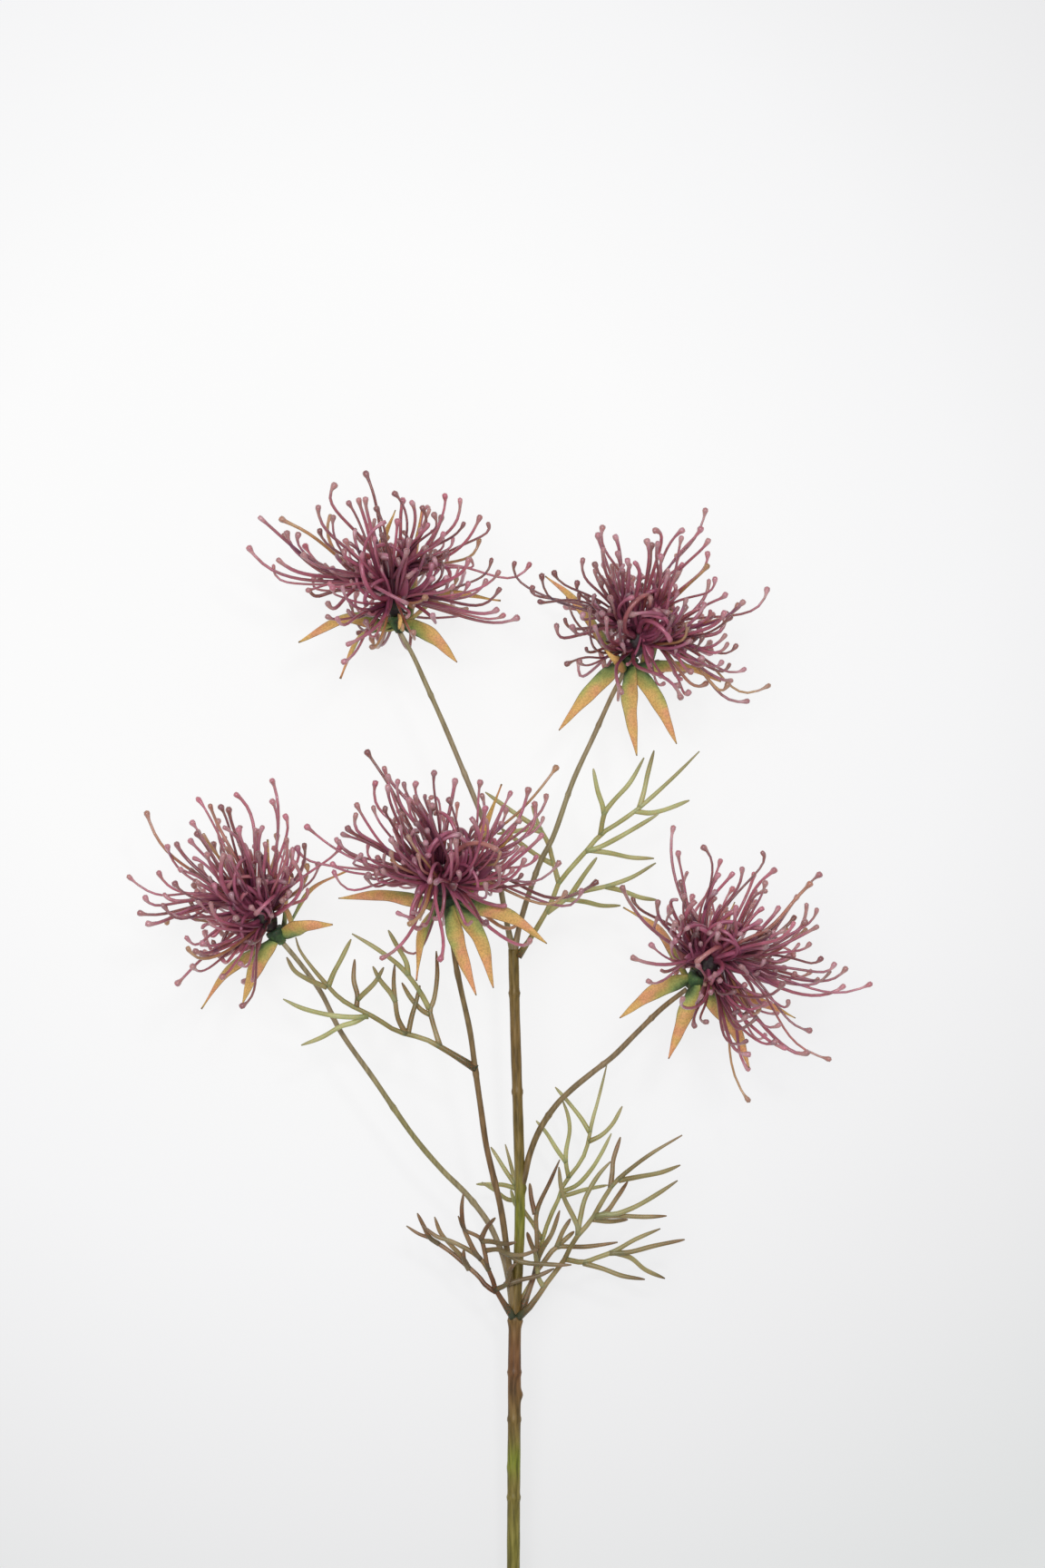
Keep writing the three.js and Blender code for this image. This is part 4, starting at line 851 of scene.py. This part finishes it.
def bract_shells(index):
    """The whorl's blades: a lens-shaped section, folded along its keel, thickest in the middle and thin at
    its rims, carried along a curve that goes out past the cup. The cup is a flaring round rod."""
    _, axis, cup = head_places(index)
    shares = np.linspace(0, 1, 26)
    lines, faces = [], []
    for via, tip, lift, turn in HEADS[index]["bracts"]:
        end = place([*tip, cup[2] + lift])
        middle = place([*via, cup[2] + lift])
        out = middle - cup
        upright = max(0, float(out @ axis / np.linalg.norm(out)))
        out = unit(out - axis * (out @ axis))
        root = cup - axis * BRACT_ROOT
        shoulder = root + out * (BRACT_SHOULDER["least"] + BRACT_SHOULDER["upright"] * upright)
        side = unit(np.cross(end - root, UP))
        faces.append(UP * turn + side * (1 - turn))
        lines.append(smooth_line(np.stack([root, shoulder, middle, end]), shares))
    seed = np.arange(len(lines)) + 9 * index
    rim_wave = wave(RIM_WAVE, shares, between(ANY_ANGLE, seed, 1))
    angle = full_turn(18)
    across = np.sin(angle)
    aside = (bract_half_width(shares) * (1 + rim_wave))[..., None] * across
    thinning = BRACT_RIM_SHARE + (1 - BRACT_RIM_SHARE) * np.abs(np.cos(angle))
    out = BRACT_THICKNESS / 2 * np.cos(angle) * thinning - BRACT_KEEL * np.abs(aside)
    out = out + wave(BRACT_WAVE, shares, between(ANY_ANGLE, seed, 2))[..., None] * across
    rim_at_tip = 0.8 + 0.2 * bump(shares, 1, 0.02)
    marks = {
        "along": shares[None, :, None],
        "rim": np.maximum(np.abs(across), rim_at_tip[:, None])[None],
        "side": np.where(chance(seed, 3) > 0.5, 1, -1)[:, None, None] * across,
    }
    blades = rods(np.stack(lines), np.stack(faces)[:, None], (out, aside), marks)
    shares = np.linspace(0, 1, 14)
    cup_line = (cup + axis * (CUP_LENGTH["all"] * (shares[:, None] - CUP_LENGTH["under"])))[None]
    radius = CUP_RADIUS["foot"] + (CUP_RADIUS["top"] - CUP_RADIUS["foot"]) * np.sin(shares * 1.9) ** 1.2
    plain = {mark: np.zeros((1, 1, 1)) for mark in marks}
    return [blades, rods(cup_line, UP, round_section(radius[None], 16), plain)]


def turned(flat, turn, shrink):
    """Offsets turned by an angle about the vertical and shrunk: the angle's cosine and sine weigh them."""
    x, y = flat[:, :1], flat[:, 1:2]
    return shrink * np.hstack([x * np.cos(turn) - y * np.sin(turn), x * np.sin(turn) + y * np.cos(turn)])


def fanned(form, axis, seed):
    """Directions spread by chance: up to the lens, some way along the head's axis, and some way aside."""
    aside = unit(np.cross(axis, UP)) * between(form["aside"], seed, 2)
    return unit(UP * form["up"] + axis * between(form["lean"], seed, 1) + aside)


def style_tips(index):
    """The tips of a head's styles, the bends of those that have one, and the styles' seeds. Those over are
    as seen from above, on a ball round the core. Those under are the same turned and shrunk, and fall towards
    the table. The inner ones are shrunk more and rise less, and the front ones fan out to the lens."""
    core, axis, _ = head_places(index)
    rows = [(*style, np.nan, np.nan)[:4] for style in HEADS[index]["styles"]]
    pixels, bends = np.split(np.array(rows, float), 2, axis=1)
    seed = np.arange(len(pixels)) + 100 * index
    flat = place(np.column_stack([pixels, np.full(len(pixels), core[2])])) - core
    depth = np.sqrt(np.maximum(0, STYLE_REACH**2 - dot(flat, flat)))
    rise = depth * between(OVER["rise"], seed, 1) + between(OVER["stray"], seed, 2)
    rise = np.minimum(rise, HIGHEST - core[2])
    over = place(np.hstack([pixels, core[2] + rise]))
    bends = place(np.hstack([bends, core[2] + BEND["rise"] * rise]))
    shrink = between(UNDER["reach"], seed, 4)
    fall = np.maximum(KNOB_REST_HEIGHT - core[2], -depth * between(UNDER["fall"], seed, 5))
    under = core + np.hstack([turned(flat, between(UNDER["turn"], seed, 3), shrink), fall])
    shrink = between(INNER["reach"], seed, 8)
    rise = rise * shrink * between(INNER["rise"], seed, 9)
    inner = core + np.hstack([turned(flat, between(INNER["turn"], seed, 7), shrink), rise])
    front_seed = np.arange(FRONT["count"]) + 100 * index + FRONT["seed"]
    front = core + fanned(FRONT, axis, front_seed) * STYLE_REACH * between(FRONT["reach"], front_seed, 3)
    front[:, 2] = np.minimum(front[:, 2], HIGHEST)
    tips = np.vstack([over, under, inner, front])
    bends = np.vstack([bends, np.full((len(tips) - len(over), 3), np.nan)])
    return tips, bends, np.concatenate([seed, seed + UNDER["seed"], seed + INNER["seed"], front_seed])


def style_radius(share, from_tip, shaft, knob):
    """A style's radius: thicker at its root, even along its shaft, and a teardrop knob at its tip."""
    body = shaft * (STYLE_SHAFT["even"] + STYLE_SHAFT["root"] * np.exp(-STYLE_SHAFT["fade"] * share))
    return body + (knob - body) * np.interp(from_tip, KNOB_PROFILE["from_tip"], KNOB_PROFILE["share"])


def keep_between_table_and_top(points):
    """Clips the points' own heights to where a knob rests on the table and to the highest that is allowed."""
    points[..., 2] = np.clip(points[..., 2], KNOB_REST_HEIGHT, HIGHEST)


def style_bundles(index, leaving):
    """Which bundle each style is in, by the nearest of a few directions spread by chance, and each bundle's
    members, mean direction and seat, which is a place on the head's axis."""
    core, axis, _ = head_places(index)
    seed = np.arange(BUNDLES) + 40 * index
    nearest = np.argmax(leaving @ unit(wild(seed, 30)).T, axis=1)
    members = (nearest == np.arange(BUNDLES)[:, None]).astype(float)
    return nearest, members, unit(members @ leaving), core + axis * between(SEATS, seed, 41)


def strap_shell(index, bundles, along, tips):
    """The bundles' roots: flat tapering straps on cubic curves, as wide as their styles spread, that leave
    their seats the bundle's way and end in a point halfway to the tips' mean."""
    nearest, members, together, seats = bundles
    size = members.sum(axis=1)
    used = np.flatnonzero(size > 1)
    middle, seat = together[used], seats[used]
    far = (members @ tips)[used] / size[used, None] - seat
    root = seat + middle * STYLE_ROOT["out"]
    first = root + middle * length_of(far) * STRAP["handle"]
    tip = seat + STRAP["reach"] * far + STRAP["lift"] * middle * length_of(far)
    shares = np.broadcast_to(np.linspace(0, 1, 12), (len(used), 12))
    lines = bezier(root, first, 0.5 * (first + tip), tip, shares)
    offset = along - together[nearest]
    widest = np.array([offset[nearest == b][np.argmax(length_of(offset[nearest == b]))] for b in used])
    half_width = np.clip(length_of(widest) * STRAP["spread"], *STRAP["half_width"])
    half_width = half_width * np.sin(np.pi * (0.2 + 0.78 * shares)) ** 0.8
    angle = full_turn(10)
    out = STRAP["thickness"] / 2 * np.cos(angle) * np.ones_like(half_width)[..., None]
    tint = between(STRAP["tint"], np.arange(len(used)) + 100 * index + 7, 14)
    marks = {"along": (0.08 + 0.5 * shares)[..., None], "tint": tint[..., None]}
    section = out, half_width[..., None] * np.sin(angle)
    return rods(lines, carried(lines, np.cross(widest, middle)), section, marks)


def curl_shell(index):
    """Short thick styles over the core that curl up: their direction turns in a plane, faster towards the
    tip, and the line is the running sum of the directions."""
    core, axis, _ = head_places(index)
    seed = np.arange(CURLS["count"]) + 100 * index + CURLS["seed"]
    start = fanned(CURLS, axis, seed)
    bend = unit(np.cross(np.cross(start, wild(seed, 3) + 0.5 * axis), start))
    shares = np.linspace(0, 1, 22)
    turn = (between(CURLS["turn"], seed, 7) * shares**1.7)[..., None]
    steps = start[:, None] * np.cos(turn) + bend[:, None] * np.sin(turn)
    length = between(CURLS["length"], seed, 8)
    step = (length / len(shares))[..., None]
    lines = (core + start * STYLE_ROOT["out"])[:, None] + np.cumsum(steps, axis=1) * step
    keep_between_table_and_top(lines)
    shaft = STYLE_RADIUS * between(CURLS["shaft"], seed, 10)
    knob = KNOB_RADIUS * between(CURLS["knob"], seed, 11)
    radius = style_radius(shares[None], (1 - shares) * length, shaft, knob)
    marks = {"along": shares[None, :, None], "tint": between(CURLS["tint"], seed, 12)[..., None]}
    return rods(lines, carried(lines, bend), round_section(radius, 6), marks)


def core_shell(index):
    """The head's heart: an egg-shaped rod along the head's axis, with low lumps round it."""
    core, axis, _ = head_places(index)
    shares = np.linspace(0, 1, 16)
    line = (core + axis * (CORE_RADIUS * 1.5 * (shares[:, None] * 2 - 1.35)))[None]
    radius = CORE_RADIUS * np.sqrt(np.maximum(0.02, 1 - (2 * shares - 1) ** 2))
    shares = shares[:, None]
    round_it = np.sin(CORE_LUMPS["count"] * full_turn(24) + CORE_LUMPS["twist"] * shares)
    lumps = 1 + CORE_LUMPS["height"] * round_it * np.sin(CORE_LUMPS["along"] * shares)
    return rods(line, UP, [lumps * part for part in round_section(radius[None], 24)], {})


def style_shells(index):
    """A head's styles: threads on cubic curves that leave their bundle's seat along its direction, and part
    from it. Those with a bend have their second control point solved from it, so that they pass it. The
    others sag away from the head's axis and hook back to it. All swing out a little before the tip, by the
    difference of two powers of the share, and end in a teardrop knob."""
    core, axis, _ = head_places(index)
    tips, bends, seed = style_tips(index)
    bent = ~np.isnan(bends)
    along = unit(np.where(bent, bends, tips) - core)
    bend_way = unit(axis + BEND["up"] * np.array([0, 1, 0]))
    leaving = unit(along - bend_way * np.where(bent, 0, between(STYLE_SAG, seed, 6)))
    bundles = style_bundles(index, leaving)
    nearest, _, together, seats = bundles
    astray = BUNDLE_ASTRAY * wild(nearest + 40 * index, 34)
    trunk = unit(STYLE_OWN_WAY * leaving + (1 - STYLE_OWN_WAY) * together[nearest] + astray)
    few = chance(seed, 17)[:, None] > STYLE_WILD["share"]
    wildness = np.where(few, STYLE_WILD["few"], STYLE_WILD["most"]) * wild(seed, 20)
    arriving = unit(along + bend_way * between(STYLE_HOOK, seed, 18) + wildness)
    arriving[tips[:, 2] == KNOB_REST_HEIGHT, 2] = 0
    root = seats[nearest] + trunk * STYLE_ROOT["out"] + (leaving - trunk) * STYLE_ROOT["apart"]
    reach = length_of(tips - root)
    first = root + trunk * reach * between(STYLE_HANDLES["root"], seed, 15)
    second = tips - unit(arriving) * reach * between(STYLE_HANDLES["tip"], seed, 16)
    first = first + STYLE_SWAY * reach * wild(seed, 37)
    second = second + STYLE_SWAY * reach * wild(seed, 24)
    t = BEND["share"]
    bending = bends - (1 - t) ** 3 * root - 3 * (1 - t) ** 2 * t * first - t**3 * tips
    second = np.where(bent, bending / (3 * (1 - t) * t**2), second)
    keep_between_table_and_top(first)
    keep_between_table_and_top(second)
    knob_shares = 1 - np.array(KNOB_STATIONS) / (reach * 1.02)
    shares = np.hstack([knob_shares[:, :1] * np.linspace(0, 1, STYLE_STATIONS, endpoint=False), knob_shares])
    swing = bend_way - dot(bend_way, along) * along + 0.5 * wild(seed, 44)
    swing = (swing * between(STYLE_SWING["height"], seed, 45))[:, None]
    swinging = shares ** STYLE_SWING["rise"] - shares ** STYLE_SWING["fall"]
    lines = bezier(root, first, second, tips, shares) - swing * swinging[..., None]
    keep_between_table_and_top(lines)
    shaft = STYLE_RADIUS * (0.8 + 0.5 * chance(seed, 10) ** 2)[:, None]
    inner = (seed >= INNER["seed"])[:, None]
    knob = KNOB_RADIUS * between(KNOB_GIRTH, seed, 11) * np.where(inner, INNER["knob"], 1)
    from_tip = length_of(lines - tips[:, None])[..., 0]
    section = round_section(style_radius(shares, from_tip, shaft, knob), 6)
    darkening = np.clip(along[:, :2] @ np.array(HEADS[index]["dark_side"]), 0, 1)
    tint = chance(seed, 12) * (1 - DARK_SIDE_SHARE * darkening)
    marks = {"along": shares[..., None], "tint": tint[:, None, None]}
    sides = carried(lines, unit(np.cross(leaving, UP + 0.1 * axis)))
    threads = rods(lines, sides, section, marks, np.stack([root, tips], axis=1))
    return [threads, strap_shell(index, bundles, along, tips), curl_shell(index)]


def floor():
    """A wide pale table top that glows with painted light, so that shadows on it are faint, and whose painted
    glow grows darker with the distance from the spray's heads."""
    mesh = bpy.data.meshes.new("table_top")
    corners = [(TABLE_REACH * x, TABLE_REACH * y, 0) for x, y in ((-1, -1), (1, -1), (1, 1), (-1, 1))]
    mesh.from_pydata(corners, [], [(0, 1, 2, 3)])
    material, tree, _ = new_material("Pale matt table, painted glow")
    position = add(tree, "TexCoord").outputs["Object"]
    brightest = tuple(place([*PAINTED_GLOW_CENTRE, 0]) * MM)
    away = add(tree, "VectorMath", {0: position, 1: brightest}, operation="DISTANCE")
    # Painted light: the table's glow is a painted pool of light that darkens with the distance from its
    # middle.
    painted_glow_falloff = add(tree, "ValToRGB", {"Fac": away.outputs["Value"]}, [
        (0.13, "#f9f9f9"), (0.24, "#f2f2f3"), (0.34, "#e6e6e7"), (0.43, "#d8dada"),
    ])
    glow = {"Emission Color": painted_glow_falloff, "Emission Strength": PAINTED_TABLE_GLOW}
    finish_material(tree, linear("#6e6e6e"), [], 0.9, **glow)
    mesh.materials.append(material)
    top = bpy.data.objects.new("table_top", mesh)
    bpy.context.scene.collection.objects.link(top)


def area_light(name, position, size, power):
    """A square soft box that faces the middle of the picture. Its place and size are in metres, and its
    power is in watts."""
    light = bpy.data.lights.new(name, "AREA")
    light.size, light.energy = size, power
    holder = bpy.data.objects.new(name, light)
    holder.location = position
    towards = Vector((*PICTURE_MIDDLE, 0)) - Vector(position)
    holder.rotation_euler = towards.to_track_quat("-Z", "Y").to_euler()
    bpy.context.scene.collection.objects.link(holder)


def studio():
    """A pale table, a bright even room, and soft boxes above: a large one and a small one for highlights."""
    floor()
    world = bpy.data.worlds.new("studio")
    world.use_nodes = True
    world.node_tree.nodes["Background"].inputs["Color"].default_value = linear("#fafafa")
    world.node_tree.nodes["Background"].inputs["Strength"].default_value = 0.42
    bpy.context.scene.world = world
    area_light("soft_box_wide", (-0.6, 0.6, 2.8), 1.5, 34)
    area_light("soft_box_small", (0.5, 0.9, 2.2), 0.3, 11)
    bpy.context.scene.view_settings.view_transform = "Standard"


def camera():
    """The lens looks straight down, with the picture's top towards +Y."""
    lens = bpy.data.cameras.new("camera")
    lens.lens, lens.sensor_width = LENS_MM, SENSOR_MM
    lens.clip_start, lens.clip_end = 0.05, 20
    holder = bpy.data.objects.new("camera", lens)
    holder.location = (*PICTURE_MIDDLE, LENS["height"] * MM)
    bpy.context.scene.collection.objects.link(holder)
    bpy.context.scene.camera = holder


PICTURE_MIDDLE = tuple(place([LENS["right"], LENS["down"], 0])[:2] * MM)

bark = woody_bark()
leaf_green = leaf_flesh()
bract_ochre = bract_blade()
style_plum = style_flesh()
heart_green = core_flesh()

add_piece("stem_bark", "stem", [stem_shell(), stalk_shell()], bark)
for name, form in LEAVES.items():
    shell = leaf_shell(form["girth"], form["height"], form["strands"], LEAF_LOOKS[name])
    add_piece(name + "_lobes", name, [shell], leaf_green)
for index in range(len(HEADS)):
    add_piece(f"bracts_{index + 1}_blades", f"bracts_{index + 1}", bract_shells(index), bract_ochre)
    add_piece(f"styles_{index + 1}_threads", f"styles_{index + 1}", style_shells(index), style_plum)
    add_piece(f"styles_{index + 1}_core", None, [core_shell(index)], heart_green)

camera()
studio()
